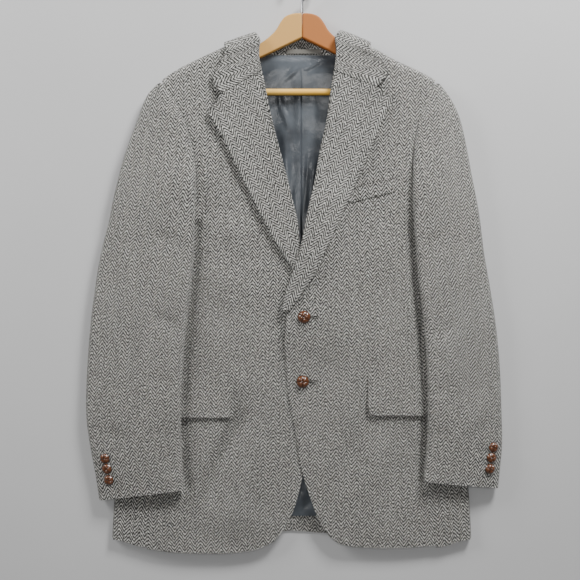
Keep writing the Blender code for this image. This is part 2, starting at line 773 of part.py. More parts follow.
def build_lining():
    at = np.linspace(0, 1, 15)
    right = through(LINING_EDGE["right"], at)
    left = through(LINING_EDGE["left"], at)
    share = (-1.0, -0.6, -0.3, -0.14, -0.06, 0.0, 0.02, 0.06, 0.14, 0.3, 0.6, 1.0)
    hem_x = np.interp(share, (-1, 0, 1), (right[0, 0], PLEAT_CREASE, left[0, 0]))
    hem = np.stack([hem_x, np.full(len(share), right[0, 1])], 1)
    top_y = COLLAR_BACK["roll_y"][2] - COLLAR_BACK["stand"][2] - 2 * SEAM
    top_x = np.interp(share, (-1, 0, 1), (right[-1, 0], PLEAT_CREASE, left[-1, 0]))
    drop = ease((np.abs(top_x - CENTRE) - 62) / 70) * (top_y - right[-1, 1])
    top = np.stack([top_x, top_y - drop], 1)
    right[-1], left[-1] = top[0], top[-1]
    grid = patch(hem, top, right, left)
    cloth("lining_back", with_z(grid, lining_z), SATIN, (0, 0, 1), "satin")


def build_loop():
    """Satin hanger loop across the stand, a little proud in the middle."""
    (x0, y0), (x1, y1) = LOOP
    share = np.linspace(0, 1, 7)
    x = x0 + (x1 - x0) * share
    z = NECK_LIFT + TWEED + 0.5 + SEAM + SATIN + LOOP_BOW * np.sin(math.pi * share)
    grid = np.array([np.column_stack([x, np.full(len(x), y), z]) for y in np.linspace(y0, y1, 3)])
    cloth("hanger_loop", grid, SATIN, (0, 0, 1), "satin")


# Hard pieces


def lathe(name, profile, place, normal, material, turns=16):
    """Solid turned about a normal through a place; the profile runs from the foot to the top."""
    angles = np.arange(turns) * 2 * math.pi / turns
    side = unit(np.cross((0, 1, 0), normal))
    other = np.cross(normal, side)
    spokes = np.outer(np.cos(angles), side) + np.outer(np.sin(angles), other)
    rings = [place + spokes * radius + normal * height for radius, height in profile[1:-1]]
    verts = np.concatenate([[place + normal * profile[0][1]], *rings, [place + normal * profile[-1][1]]])
    count = len(rings)
    faces = []
    for k in range(turns):
        follow = (k + 1) % turns
        faces.append((0, 1 + follow, 1 + k))
        for ring in range(count - 1):
            a, b = 1 + ring * turns, 1 + (ring + 1) * turns
            faces.append((a + k, a + follow, b + follow, b + k))
        top = 1 + (count - 1) * turns
        faces.append((top + k, top + follow, len(verts) - 1))
    return add_object(name, verts, faces, material)


def build_button(name, carrier, x, y, radius):
    """Domed leather button."""
    profile = [(0, 0), (0.82, 0), (1, 0.14), (0.97, 0.36), (0.7, 0.66), (0.36, 0.8), (0, 0.85)]
    place, normal = seat(carrier, x, y, radius)
    lathe(name, [(a * radius, b * radius) for a, b in profile], place, normal, "leather")


def seat(carrier, x, y, radius):
    """Place and normal of a round foot on top of a cloth piece, at a place in plan."""
    mesh = bpy.data.objects[carrier].data
    tree = BVHTree.FromPolygons([v.co for v in mesh.vertices], [p.vertices for p in mesh.polygons])
    hits = []
    for k in range(17):
        a = 2 * math.pi * k / 16
        reach = radius if k < 16 else 0.0
        start = Vector(((x + reach * math.cos(a)) * MM, (y + reach * math.sin(a)) * MM, 1))
        place = tree.ray_cast(start, Vector((0, 0, -1)))[0]
        if place is not None:
            hits.append(np.array(place) / MM)
    hits = np.array(hits)
    centre = hits.mean(0)
    slope = np.linalg.lstsq(hits[:, :2] - centre[:2], hits[:, 2] - centre[2], rcond=None)[0]
    normal = unit(np.array((-slope[0], -slope[1], 1.0)))
    proud = ((hits - centre) @ normal).max()
    return centre + normal * (proud + SEAM), normal


def build_buttons():
    for name, (x, y) in FRONT_BUTTONS.items():
        build_button(name, "front_left", x, y, FRONT_BUTTON_RADIUS)
    for side, places in CUFF_BUTTONS.items():
        for number, (x, y) in enumerate(places, 1):
            build_button(f"button_cuff_{side}_{number}", "sleeve_top_" + side, x, y, CUFF_BUTTON_RADIUS)


def hanger_outline(direction):
    """One arm with its half of the head, from the centre joint outwards."""
    top, half, foot, foot_half = HANGER_HEAD
    slope = math.tan(HANGER_SLOPE)
    gap = SEAM / 2
    end = HANGER_REACH

    def upper(x):
        return HANGER_APEX_Y + HANGER_DEPTH - slope * x

    def lower(x):
        return HANGER_APEX_Y - slope * x

    points = [(gap, lower(gap)), (end - 12, lower(end - 12)), (end - 3, lower(end - 3) + 4)]
    points += [(end, lower(end) + 12), (end - 3, upper(end - 3) - 4), (end - 12, upper(end - 12))]
    points += [(72, upper(72) - 1.5), (61, upper(61) + 1), (52, 384.5), (44, 392), (foot_half, foot)]
    points += [(half + 1, top - 6), (half - 3, top), (gap, top)]
    outline = [(CENTRE + direction * x, y) for x, y in points]
    return outline if direction > 0 else outline[::-1]


def build_hanger():
    top_z = HANGER_Z + HANGER_WALL
    prism("hanger_arm_left", hanger_outline(1), HANGER_Z, top_z, "wood_dark")
    prism("hanger_arm_right", hanger_outline(-1), HANGER_Z, top_z, "wood_light")
    middle = HANGER_Z + HANGER_WALL / 2
    reach = (HANGER_APEX_Y - BAR_Y - BAR_RADIUS) / math.tan(HANGER_SLOPE) - SEAM
    bar = [(CENTRE - reach, BAR_Y, middle), (CENTRE + reach, BAR_Y, middle)]
    curve_object("hanger_bar", bar, BAR_RADIUS, "wood_light")
    curve_object("hanger_hook", hook_points(middle), HOOK_WIRE, "steel")


def hook_points(z):
    """Straight shank, a tight bend sideways, then most of a circle."""
    start = HANGER_HEAD[0] + SEAM
    bend_y = start + HOOK_SHANK - HOOK_BEND
    points = [(CENTRE, start, z), (CENTRE, bend_y, z)]
    for angle in np.radians(np.linspace(150, 90, 4)):
        x = CENTRE + HOOK_BEND * (1 + math.cos(angle))
        points.append((x, bend_y + HOOK_BEND * math.sin(angle), z))
    centre_y = start + HOOK_SHANK + HOOK_RADIUS
    for angle in np.radians(np.linspace(-60, 200, 22)):
        points.append((CENTRE + HOOK_RADIUS * math.cos(angle), centre_y + HOOK_RADIUS * math.sin(angle), z))
    return points


def curve_object(name, points, radius, material):
    """Round bar or wire along a polyline."""
    curve = bpy.data.curves.new(name, "CURVE")
    curve.dimensions = "3D"
    curve.bevel_depth = radius * MM
    curve.bevel_resolution = 3
    curve.use_fill_caps = True
    spline = curve.splines.new("POLY")
    spline.points.add(len(points) - 1)
    for point, place in zip(spline.points, points):
        point.co = (*(c * MM for c in place), 1)
    curve.materials.append(surface(material))
    obj = bpy.data.objects.new(name, curve)
    bpy.context.scene.collection.objects.link(obj)
    return obj


# Whole part


def stand_on_origin():
    """Move everything so that the part's box stands on the origin, centred in X and Y."""
    bpy.context.view_layer.update()
    corners = np.array([obj.matrix_world @ Vector(v) for obj in bpy.data.objects for v in obj.bound_box])
    low, high = corners.min(0), corners.max(0)
    shift = ((low[0] + high[0]) / 2, (low[1] + high[1]) / 2, low[2])
    for obj in bpy.data.objects:
        obj.location = [-s for s in shift]


def build_all():
    for obj in list(bpy.data.objects):
        bpy.data.objects.remove(obj, do_unlink=True)
    for side in ("left", "right"):
        build_back(side)
        build_side(side)
        build_front(side)
        build_lapel(side)
        build_sleeve_top(side)
        build_sleeve_under(side)
        build_flap(side)
    build_collar()
    build_welt()
    build_lining()
    build_loop()
    build_buttons()
    build_hanger()
    stand_on_origin()


build_all()
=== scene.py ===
"""Looks of a two-button herringbone tweed jacket laid flat on its wooden hanger.

The cloth is drafted in millimetres, as a cutter would: +X to the wearer's left, +Y from hem to collar,
+Z up from the surface that the jacket lies on. Each piece is a surface worked out on a grid and given a
wall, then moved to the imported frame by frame_shift().
"""

import math

import bpy
import numpy as np
from bpy.props import FloatProperty, FloatVectorProperty, PointerProperty
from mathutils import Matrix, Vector


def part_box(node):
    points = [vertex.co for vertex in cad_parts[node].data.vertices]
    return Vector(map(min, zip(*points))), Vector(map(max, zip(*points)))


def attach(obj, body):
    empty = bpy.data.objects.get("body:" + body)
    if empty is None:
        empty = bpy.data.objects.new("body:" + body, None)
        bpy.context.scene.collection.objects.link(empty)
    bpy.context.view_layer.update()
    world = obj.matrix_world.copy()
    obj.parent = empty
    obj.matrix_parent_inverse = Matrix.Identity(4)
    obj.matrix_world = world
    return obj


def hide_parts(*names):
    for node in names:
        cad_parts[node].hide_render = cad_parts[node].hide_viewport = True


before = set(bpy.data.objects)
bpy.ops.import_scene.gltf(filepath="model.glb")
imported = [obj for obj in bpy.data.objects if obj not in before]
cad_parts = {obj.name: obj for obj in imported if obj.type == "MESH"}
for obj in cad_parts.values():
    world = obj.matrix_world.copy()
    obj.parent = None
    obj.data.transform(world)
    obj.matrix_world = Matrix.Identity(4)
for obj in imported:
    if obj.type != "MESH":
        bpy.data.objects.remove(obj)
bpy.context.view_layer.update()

bl_info = {
    "name": "Herringbone tweed jacket",
    "version": (1, 0, 0),
    "blender": (4, 5, 0),
    "location": "View3D > Sidebar > Jacket",
    "description": "Cloth, lining, buttons and hanger of a tweed jacket laid flat",
    "category": "Add Mesh",
}

MM = 0.001


def table(names, *rows):
    """A short table: column names, then one row for each section."""
    return dict(zip(names.split(), np.array(rows, float).T))


SEAM = 0.3  # gap between pieces that are sewn or glued together
SIDE_SEAM = 0.4  # the same for the side seams
LINING_AIR = 0.6  # between the back and its lining
RIDGE_SEAM = 1.2  # half the gap of the shoulder seam at the outer face; its inner edges nearly touch
TWEED = 2.0  # wall of the tweed
SATIN = 1.0  # wall of the lining
TURN_GAP = 2.0  # air between a panel and the lapel or collar turned back over it
ROLL = TWEED + TURN_GAP / 2 + 0.4  # half thickness of the soft roll of a lapel or collar
FOOT = 8.0  # length of a lapel's inner layer, from the roll to where the front panel goes on
RIDGE = 13.0  # radius of the rounded shoulder edge, where front meets back
NECK_LIFT = 4.4  # the collar's fall lies under the back, and lifts it this far
SIDE_FRONT = 55.0  # from the side fold to the seam of the front and the side body
SIDE_BACK = 60.0  # from the side fold to the seam of the back and the side body
OVERLAP_LIFT = 2.6  # the left front lies on the right one
CROSSING_LIFT = 8.8  # and on the right lapel where the lapels cross
CENTRE = 12.0  # x of the middle of the neck and of the hanger


# Thickness of the body, outside to outside, along its length.
BODY = table(
    "y middle side",
    (-410, 14, 11),
    (-200, 16, 12),
    (-76, 18, 12),
    (99, 24, 15),
    (200, 27, 20),
    (321, 29, 25),
    (400, 30, 25),
)
# The side folds of the body.
FOLD = table(
    "y left right",
    (-400, 274, -282),
    (-320, 270, -277),
    (-200, 259, -262),
    (-76, 250, -250),
    (99, 258, -258),
    (160, 262, -262),
    (400, 262, -262),
)
# The shoulder line, from sleeve head to neck to sleeve head.
SHOULDER = table(
    "x y",
    (-230, 300),
    (-205, 321),
    (-186, 334),
    (-144, 356),
    (-98, 376),
    (-57, 390),
    (12, 396),
    (67, 393),
    (111, 375),
    (162, 349),
    (195, 334),
    (218, 321),
    (245, 300),
)
NECK_POINT = {"left": np.array((67.0, 393.0)), "right": np.array((-57.0, 390.0))}
SHOULDER_TIP = {"left": np.array((218.0, 321.0)), "right": np.array((-205.0, 321.0))}

# Sleeves, from the head to the cuff: outer and inner edge in plan, how far the lower layer of the top
# sleeve reaches in from the outer edge, how much of the inner edge is turned under (0 at the armhole
# seam, 1 past the armpit), half the height of the inner fold, the height of the outer one, and the air
# under the sleeve.
SLEEVE = {
    "right": table(
        "outer_x outer_y inner_x inner_y under turned rise fold clear",
        (-211, 316, -200, 314, 8, 0, 2, 21, 0.6),
        (-228, 295, -181, 288, 36, 0, 5, 23, 0.6),
        (-247, 245, -164, 249, 60, 0, 7.5, 24, 0.6),
        (-262, 203, -152, 205, 74, 0, 8.5, 24, 0.6),
        (-272, 165, -149, 167, 72, 0.45, 8.5, 24, 0.6),
        (-279, 135, -150, 132, 52, 0.85, 7.5, 24, 0.6),
        (-285, 105, -151, 98, 17, 1, 7.5, 23, 0.6),
        (-297, 57, -153, 50, 14, 1, 7.5, 22, 0.8),
        (-306, 5, -157, 0, 14, 1, 7.5, 22, 2),
        (-314, -60, -165, -60, 14, 1, 7.5, 21, 4),
        (-319, -130, -170, -125, 14, 1, 7.5, 20, 4.5),
        (-320, -190, -172, -185, 14, 1, 7.5, 20, 4.5),
        (-314, -240, -172, -235, 14, 1, 7.5, 20, 2),
        (-306, -284, -170, -272, 12, 1, 7.5, 19, 1.4),
        (-300, -323, -166, -304, 10, 1, 7.5, 18, 1.4),
    ),
    "left": table(
        "outer_x outer_y inner_x inner_y under turned rise fold clear",
        (224, 316, 213, 313, 8, 0, 2, 21, 0.6),
        (241, 293, 202, 288, 32, 0, 5, 23, 0.6),
        (255, 262, 189, 256, 50, 0, 7.5, 24, 0.6),
        (266, 214, 182, 214, 66, 0, 8.5, 24, 0.6),
        (274, 170, 180, 168, 66, 0.45, 8.5, 24, 0.6),
        (281, 135, 180, 132, 48, 0.85, 7.5, 24, 0.6),
        (286, 105, 182, 98, 17, 1, 7.5, 23, 0.6),
        (292, 57, 186, 50, 14, 1, 7.5, 22, 0.8),
        (301, 5, 191, 0, 14, 1, 7.5, 22, 2),
        (311, -60, 198, -60, 14, 1, 7.5, 21, 4),
        (317, -130, 202, -125, 14, 1, 7.5, 20, 4.5),
        (319, -190, 203, -185, 14, 1, 7.5, 20, 4.5),
        (320, -235, 202, -232, 14, 1, 7.5, 20, 2),
        (317, -272, 199, -264, 12, 1, 7.5, 19, 1.4),
        (314, -304, 197, -292, 10, 1, 7.5, 18, 1.4),
    ),
}
ARMPIT_ROW = 6  # the first row of each sleeve table where the tube is closed

# Lapels, from the break at the upper button to the gorge: roll edge and free edge in plan. The free
# edge's last rows run from the lapel's point up to the notch.
LAPEL = {
    "right": table(
        "roll_x roll_y edge_x edge_y",
        (35, -28, 22, -26),
        (26, 3, 8, 12),
        (18, 32, -8, 40),
        (9, 72, -31, 77),
        (5, 106, -52, 116),
        (-3, 140, -68, 148),
        (-13, 180, -84, 178),
        (-24, 222, -104, 222),
        (-33, 257, -122, 254),
        (-38, 278, -130, 270),
        (-43, 305, -119, 285),
        (-49, 333, -111, 297),
    ),
    "left": table(
        "roll_x roll_y edge_x edge_y",
        (-19, -30, -5, -30),
        (-13, -2, 17, 2),
        (-2, 28, 38, 34),
        (8, 62, 52, 68),
        (15, 94, 67, 101),
        (22, 128, 84, 138),
        (31, 168, 100, 174),
        (39, 214, 120, 220),
        (47, 249, 140, 268),
        (51, 272, 150, 287),
        (55, 303, 137, 298),
        (60, 333, 126, 307),
    ),
}
# The collar on the front of the jacket, from the gorge up to the shoulder: roll, fall edge, stand.
COLLAR_FRONT = {
    "right": table(
        "roll_x roll_y edge_x edge_y stand",
        (-49.5, 334, -111, 298, 8),
        (-51, 343, -124, 317, 10),
        (-53, 354, -118, 335, 14),
        (-53, 366, -112, 347, 20),
    ),
    "left": table(
        "roll_x roll_y edge_x edge_y stand",
        (60.5, 334, 126, 308, 8),
        (61.5, 343, 142, 329, 10),
        (63, 356, 134, 343, 14),
        (63, 368, 126, 352, 20),
    ),
}
# The collar round the shoulder edge: angle from under the back to the front, fall, stand.
COLLAR_TURN = table(
    "angle fall stand",
    (90, 59, 27),
    (45, 55, 28),
    (0, 51, 28),
    (-45, 48, 28),
    (-90, 46, 29),
)
# The collar behind the neck.
COLLAR_BACK = table(
    "roll_x roll_y edge_x edge_y stand",
    (-36, 385, -64, 350, 29),
    (-13, 390, -28, 345, 29),
    (12, 391, 12, 344, 29),
    (37, 390, 52, 345, 29),
    (47, 387, 74, 351, 29),
)
# Where each front's edge runs, from the round corner of the hem up to the break.
FRONT_EDGE = {
    "right": ((-31, -386), (-13, -363), (0, -335), (9, -303), (17, -262), (27, -200), (34, -120), (36, -60)),
    "left": ((53, -377), (38, -354), (28, -328), (19, -302), (11, -272), (3, -223), (-8, -160), (-14, -80)),
}
FRONT_HEM = {
    "right": ((-31, -386), (-50, -396), (-83, -403), (-144, -405), (-200, -402), (-226.6, -398)),
    "left": ((53, -377), (67, -388), (84, -393), (116, -396), (170, -396), (218.6, -393)),
}
# The front armhole, from the side seam to the first turned-under row of the sleeve.
ARMHOLE_FRONT = {
    "right": ((-203, 104), (-187, 121), (-166, 142), (-151, 170)),
    "left": ((203, 104), (200, 121), (190, 142), (181, 172)),
}
BACK_HEM = {
    "right": ((-3, -372), (-80, -378), (-150, -384), (-221, -388)),
    "left": ((-3, -372), (70, -378), (140, -384), (213, -386)),
}
CENTRE_BACK = ((-3, -372), (6, -100), (10, 150), (12, 361))
# Hem and top of the side body, from its seam under the back, round the fold, to its seam on the front.
SIDE_LOW = (-386, -385, -384, -382, -382, -381, -381, -381, -384, -384, -388, -393, -396)
SIDE_HIGH = (152, 131, 112, 99, 99, 99, 99, 99, 99, 99, 100, 101, 103)
SIDE_ROWS = 11
LINING_EDGE = {
    "right": ((-195, -349), (-182, -76), (-186, 60), (-150, 190), (-122, 330)),
    "left": ((192, -349), (182, -76), (186, 60), (168, 190), (140, 330)),
}
PLEAT_CREASE = 9.5  # x of the pleat's folded edge
PLEAT_HEIGHT = 3.0
PLEAT_WIDTH = 26.0
LOOP = ((-11, 364), (42, 371))  # two corners of the hanger loop
LOOP_BOW = 1.2

FLAP_LENGTH = 132.0
FLAP_DEPTH = 63.0
FLAP_CORNER = {"right": (-91, -133), "left": (112, -130)}  # upper corner nearest the buttons
FLAP_WALL = 2.5
WELT = ((82, 154.5), (150, 172))  # upper edge of the breast welt
WELT_DEPTH = 22.0
WELT_WALL = 1.0

FRONT_BUTTONS = {"button_front_upper": (15, -41), "button_front_lower": (13, -140)}
FRONT_BUTTON_RADIUS = 10.0
CUFF_BUTTON_RADIUS = 8.0
HANGER_Z = 9.8  # underside of the wood, clear of the stand and the loop
HANGER_WALL = 11.0
HANGER_SLOPE = math.radians(25.5)
HANGER_REACH = 190.0  # from the centre joint to the end of an arm, along X
HANGER_APEX_Y = 386.0  # underside of the wood at the centre joint
HANGER_DEPTH = 20.0  # height of an arm in plan
HANGER_HEAD = (424, 25, 405, 32)  # top of the head, its half width, its foot, half width there
BAR_RADIUS = 5.0
BAR_Y = 303.5
HOOK_RADIUS = 21.0
HOOK_WIRE = 1.9
HOOK_SHANK = 22.0
HOOK_BEND = 6.0

WARP_ENDS = 8  # ends in one stripe of the herringbone
TWEED_BUMP = 0.00035
EDGE_STITCH = 5.0  # from a finished edge to its line of stitching
LAPEL_SPRING = 2.6  # how far the free edges of lapels and collar stand off
FLAP_SPRING = 3.0
FAR = 1000.0  # edge distance of cloth with no finished edge

# Creases in the cloth: start and end in plan, width and height of each soft ridge
# (or trough, where the height is negative).
FRONT_CREASES = {
    "right": table(
        "x0 y0 x1 y1 width height",
        (-72, -176, -162, -376, 13, -9.0),
        (-98, -186, -186, -366, 14, 4.2),
        (-44, -212, -106, -394, 17, 5.0),
        (-70, -150, -84, -215, 9, -1.8),
        (-63, 66, -66, -128, 4.0, -1.6),
        (-58, 30, -20, -40, 11, -1.6),
        (-118, 118, -66, 40, 16, 1.4),
        (-140, 40, -96, -100, 14, -1.5),
        (-20, -240, -32, -372, 12, -1.3),
    ),
    "left": table(
        "x0 y0 x1 y1 width height",
        (60, 66, 58, -126, 4.0, -1.6),
        (88, -196, 70, -372, 15, -4.6),
        (128, -208, 122, -390, 17, 3.0),
        (166, -200, 158, -330, 12, -4.4),
        (44, -190, 40, -340, 13, 1.3),
        (150, 60, 110, -70, 18, -1.6),
        (110, 140, 160, 20, 16, 1.5),
        (70, -20, 110, -120, 14, 1.2),
    ),
}
SLEEVE_CREASES = {
    "right": table(
        "x0 y0 x1 y1 width height",
        (-250, 4, -256, -218, 9, -4.1),
        (-226, 30, -232, -190, 12, 2.7),
        (-166, -66, -226, -30, 9, -3.2),
        (-172, -150, -232, -128, 11, -2.7),
        (-168, 60, -226, 96, 12, -3.1),
        (-196, 236, -214, 120, 12, 2.5),
        (-286, -20, -262, 60, 11, -2.4),
        (-296, -210, -250, -240, 10, -2.5),
        (-190, -200, -196, -292, 10, -2.2),
    ),
    "left": table(
        "x0 y0 x1 y1 width height",
        (262, 20, 266, -206, 10, -3.6),
        (236, 40, 242, -180, 12, 2.5),
        (204, -74, 258, -44, 9, -3.1),
        (208, -164, 262, -140, 11, -2.5),
        (194, 62, 244, 92, 12, -2.9),
        (222, 232, 236, 120, 12, 2.5),
        (300, -30, 280, 56, 11, -2.2),
        (300, -196, 262, -232, 10, -2.4),
        (222, -196, 226, -284, 10, -2.2),
    ),
}
LINING_CREASES = table(
    "x0 y0 x1 y1 width height",
    (-50, 351, 74, 352, 30, 2.4),
    (-30, 196, 50, 196, 46, 2.6),
    (10, 340, 46, 352, 3.0, 1.8),
    (-26, 306, 2, 214, 5, 2.2),
    (-6, 330, 0, 236, 4, -1.2),
    (46, 352, 18, 330, 3.2, -1.4),
    (8, 344, -22, 316, 3.4, 1.6),
    (-22, 318, -20, 268, 4.0, 1.1),
    (-44, 330, -20, 344, 3.4, 1.1),
    (28, 322, 34, 240, 7, 1.6),
    (-16, 262, -4, 96, 7, 3.6),
    (-34, 268, -20, 190, 8, -1.4),
    (24, 220, 14, 110, 4, -2.2),
    (32, 210, 18, 96, 5, 3.2),
    (0, 170, 4, 70, 5, 1.6),
    (20, -300, 4, -338, 6, 1.9),
    (28, -322, 10, -346, 4, -1.4),
    (-4, -306, 2, -340, 4, 1.5),
)
# Upper edge of a hanger arm near the joint: distance from the joint, and place along Y.
ARM_HEAD = ((80, 366.5), (66, 376), (51, 387), (40, 398), (33, 410), (26, 418.5), (15, 423), (0.15, 424))
BUTTONHOLES = ((30.5, -41.0), (29.0, -139.5))  # middle of each front buttonhole's visible end
LAPEL_GRAIN = {"right": 27.0, "left": -26.0}  # degrees that the stripes lean from upright

CAMERA_AT = (-6.5, 0.0)  # over this place in plan
CAMERA_HEIGHT = 1500.0
VIEW_WIDTH = 887.0  # what the picture spans at the height of the cloth
SENSOR = 36.0


# Curves and surfaces


def ease(x):
    """Smooth step from 0 to 1."""
    t = np.clip(x, 0.0, 1.0)
    return t * t * (3 - 2 * t)


def smooth(at, knots, values):
    """Cubic curve through a table's values."""
    slopes = np.gradient(values, knots, axis=0)
    i = np.clip(np.searchsorted(knots, at) - 1, 0, len(knots) - 2)
    extra = (1,) * (values.ndim - 1)
    span = (knots[i + 1] - knots[i]).reshape(np.shape(at) + extra)
    t = np.clip((at - knots[i]).reshape(np.shape(at) + extra) / span, 0.0, 1.0)
    rise = values[i + 1] - values[i]
    a = slopes[i] * span - rise
    b = rise - slopes[i + 1] * span
    return values[i] + t * rise + t * (1 - t) * ((1 - t) * a + t * b)


def fractions(points):
    """Arc length from the start to each point, as a fraction of the whole."""
    steps = np.linalg.norm(np.diff(points, axis=0), axis=1)
    return np.concatenate(([0.0], np.cumsum(steps))) / steps.sum()


def resample(points, at):
    """Points of a polyline at given fractions of its length."""
    points = np.asarray(points, float)
    knots = fractions(points)
    return np.stack([np.interp(at, knots, points[:, k]) for k in range(points.shape[1])], 1)


def through(points, at):
    """Points of a smooth curve through the given points, at given fractions of its length."""
    points = np.asarray(points, float)
    knots = fractions(points)
    fine = np.linspace(0, 1, 20 * len(points))
    curve = np.stack([smooth(fine, knots, points[:, k]) for k in range(points.shape[1])], 1)
    return resample(curve, at)


def patch(bottom, top, inner, outer):
    """Coons patch in plan: rows run from bottom to top, and columns from inner to outer."""
    v = ((fractions(inner) + fractions(outer)) / 2)[:, None, None]
    u = ((fractions(bottom) + fractions(top)) / 2)[None, :, None]
    lengthwise = (1 - v) * bottom[None] + v * top[None]
    crosswise = (1 - u) * inner[:, None] + u * outer[:, None]
    corners = (1 - v) * ((1 - u) * bottom[0] + u * bottom[-1]) + v * ((1 - u) * top[0] + u * top[-1])
    return lengthwise + crosswise - corners


def plan(tab, x, y):
    """The points of two columns of a table."""
    return np.stack([tab[x], tab[y]], 1)


def unit(vectors):
    return vectors / np.linalg.norm(vectors, axis=-1, keepdims=True)


def fold_x(x, y):
    """Distance from the middle to the side fold on the side that x lies on."""
    left = smooth(y, FOLD["y"], FOLD["left"])
    right = -smooth(y, FOLD["y"], FOLD["right"])
    return np.where(x > 0, left, right)


def inside(x, y):
    """Distance in from the side fold."""
    return fold_x(x, y) - np.abs(x)


def full_height(x, y):
    """Height of the fronts, before the rounding at the side fold and the shoulder."""
    middle = smooth(y, BODY["y"], BODY["middle"])
    side = smooth(y, BODY["y"], BODY["side"])
    return side + (middle - side) * ease(inside(x, y) / 130)


def ridge_distance(x, y):
    """Distance in from the shoulder line."""
    return (smooth(x, SHOULDER["x"], SHOULDER["y"]) - y) * math.cos(HANGER_SLOPE)


def rounding(distance, radius):
    """Quarter circle: 0 at an edge, 1 from the radius on."""
    return np.sqrt(1 - (1 - np.clip(distance / radius, 0, 1)) ** 2)


def neck_lift(x, y):
    """The back is lifted where the collar's fall lies under it."""
    return NECK_LIFT * ease((y - 275) / 66) * ease((152 - np.abs(x - CENTRE)) / 40)


def front_z(x, y):
    """Outer face of the fronts."""
    low = neck_lift(x, y)
    high = full_height(x, y)
    seam = (low + high) / 2 + RIDGE_SEAM
    return seam + (high - seam) * rounding(ridge_distance(x, y), RIDGE)


def back_z(x, y):
    """Outer face of the back, which is its underside."""
    low = neck_lift(x, y)
    seam = (low + full_height(x, y)) / 2 - RIDGE_SEAM
    return seam - (seam - low) * rounding(ridge_distance(x, y), RIDGE)


def overlap(x, y):
    """How far the left front is lifted by the right front and lapel under it."""
    crossing = ease((y + 130) / 80) * ease((200 - y) / 80)
    lift = OVERLAP_LIFT + (CROSSING_LIFT - OVERLAP_LIFT) * crossing
    return lift * ease((105 - x) / 50) * ease((240 - y) / 110)


def panel_z(side, x, y):
    """Outer face of one front, with the overlap of the left one."""
    return front_z(x, y) + (overlap(x, y) if side == "left" else 0.0)


def with_z(points, height):
    """Plan points lifted to a height function."""
    z = height(points[..., 0], points[..., 1])
    return np.concatenate([points, z[..., None]], -1)


# Draft of the pieces


def sleeve_rows(side):
    """Outer edge, inner edge, direction inwards and width of each sleeve row."""
    rows = SLEEVE[side]
    outer = plan(rows, "outer_x", "outer_y")
    inner = plan(rows, "inner_x", "inner_y")
    inwards = unit(inner - outer)
    width = np.linalg.norm(inner - outer, axis=1)
    return outer, inner, inwards, width


def sign(side):
    return 1 if side == "left" else -1


def seam_line(side, reach, levels):
    """A lengthwise seam at a distance in from the side fold."""
    levels = np.asarray(levels, float)
    x = sign(side) * (fold_x(np.full(len(levels), float(sign(side))), levels) - reach)
    return np.stack([x, levels], 1)


def front_outer(side):
    """Side seam of the front, then its armhole up to the shoulder."""
    levels = np.linspace(SIDE_LOW[-1], SIDE_HIGH[-1], SIDE_ROWS)[1:-1]
    hem = np.array(FRONT_HEM[side][-1])
    seam = seam_line(side, SIDE_FRONT + SIDE_SEAM, levels)
    inner, inwards = sleeve_rows(side)[1:3]
    head = (inner + inwards * SEAM)[3::-1]
    tip = SHOULDER_TIP[side] - (2.0 * sign(side), 0)
    return np.concatenate([[hem], seam, ARMHOLE_FRONT[side], head, [tip]])


def lapel_rows(side):
    rows = LAPEL[side]
    roll = plan(rows, "roll_x", "roll_y")
    edge = plan(rows, "edge_x", "edge_y")
    return roll, edge


def neck_stations(side, extra=2 * SEAM):
    """Where the collar's stand ends, from the gorge to the shoulder line."""
    rows = COLLAR_FRONT[side]
    roll = plan(rows, "roll_x", "roll_y")
    out = unit(plan(rows, "edge_x", "edge_y") - roll)
    front = roll + out * (rows["stand"] + extra)[:, None]
    along, inwards = shoulder_frame(side)
    stand = COLLAR_TURN["stand"][2] + extra
    top = NECK_POINT[side] + inwards * RIDGE + along * (stand - 1)
    ridge = NECK_POINT[side] + along * stand
    ridge[1] = smooth(ridge[0], SHOULDER["x"], SHOULDER["y"])
    return np.concatenate([front[1:], [top, ridge]])


def shoulder_frame(side):
    """Direction from neck to sleeve head, and from the shoulder line into the body."""
    along = unit(SHOULDER_TIP[side] - NECK_POINT[side])
    inwards = np.array((-along[1], along[0]))
    return along, inwards * (-1 if inwards[1] > 0 else 1)


def front_inner(side):
    """Front edge, roll line (set in by the lapel's foot) and neck of the front."""
    roll, edge = lapel_rows(side)
    set_in = roll + unit(edge - roll) * (FOOT + 4 * SEAM)
    return np.concatenate([FRONT_EDGE[side], set_in, neck_stations(side)])


def back_outer(side):
    """Side seam of the back, then its armhole up to the shoulder."""
    levels = np.linspace(SIDE_LOW[0], SIDE_HIGH[0], SIDE_ROWS)[1:]
    hem = np.array(BACK_HEM[side][-1], float)
    seam = seam_line(side, SIDE_BACK + SIDE_SEAM, levels)
    outer, _, inwards, _ = sleeve_rows(side)
    reach = SLEEVE[side]["under"] + SEAM
    head = (outer + inwards * reach[:, None])[4::-1]
    tip = SHOULDER_TIP[side] - (2.0 * sign(side), 0)
    return np.concatenate([[hem], seam, head, [tip]])


def back_neck(side):
    """Neck edge of the back, along the end of the collar's stand, from the middle to the shoulder line."""
    rows = COLLAR_BACK
    roll = plan(rows, "roll_x", "roll_y")
    down = unit(plan(rows, "edge_x", "edge_y") - roll)
    ends = roll + down * (rows["stand"] + 4 * SEAM)[:, None]
    ends = ends[2:] if side == "left" else ends[2::-1]
    ends[0, 0] += SEAM / 2 * sign(side)
    along, inwards = shoulder_frame(side)
    turn = NECK_POINT[side] + inwards * RIDGE + along * (COLLAR_TURN["stand"][-1] + 4 * SEAM)
    return np.concatenate([ends, [turn, neck_stations(side, 3 * SEAM)[-1]]])


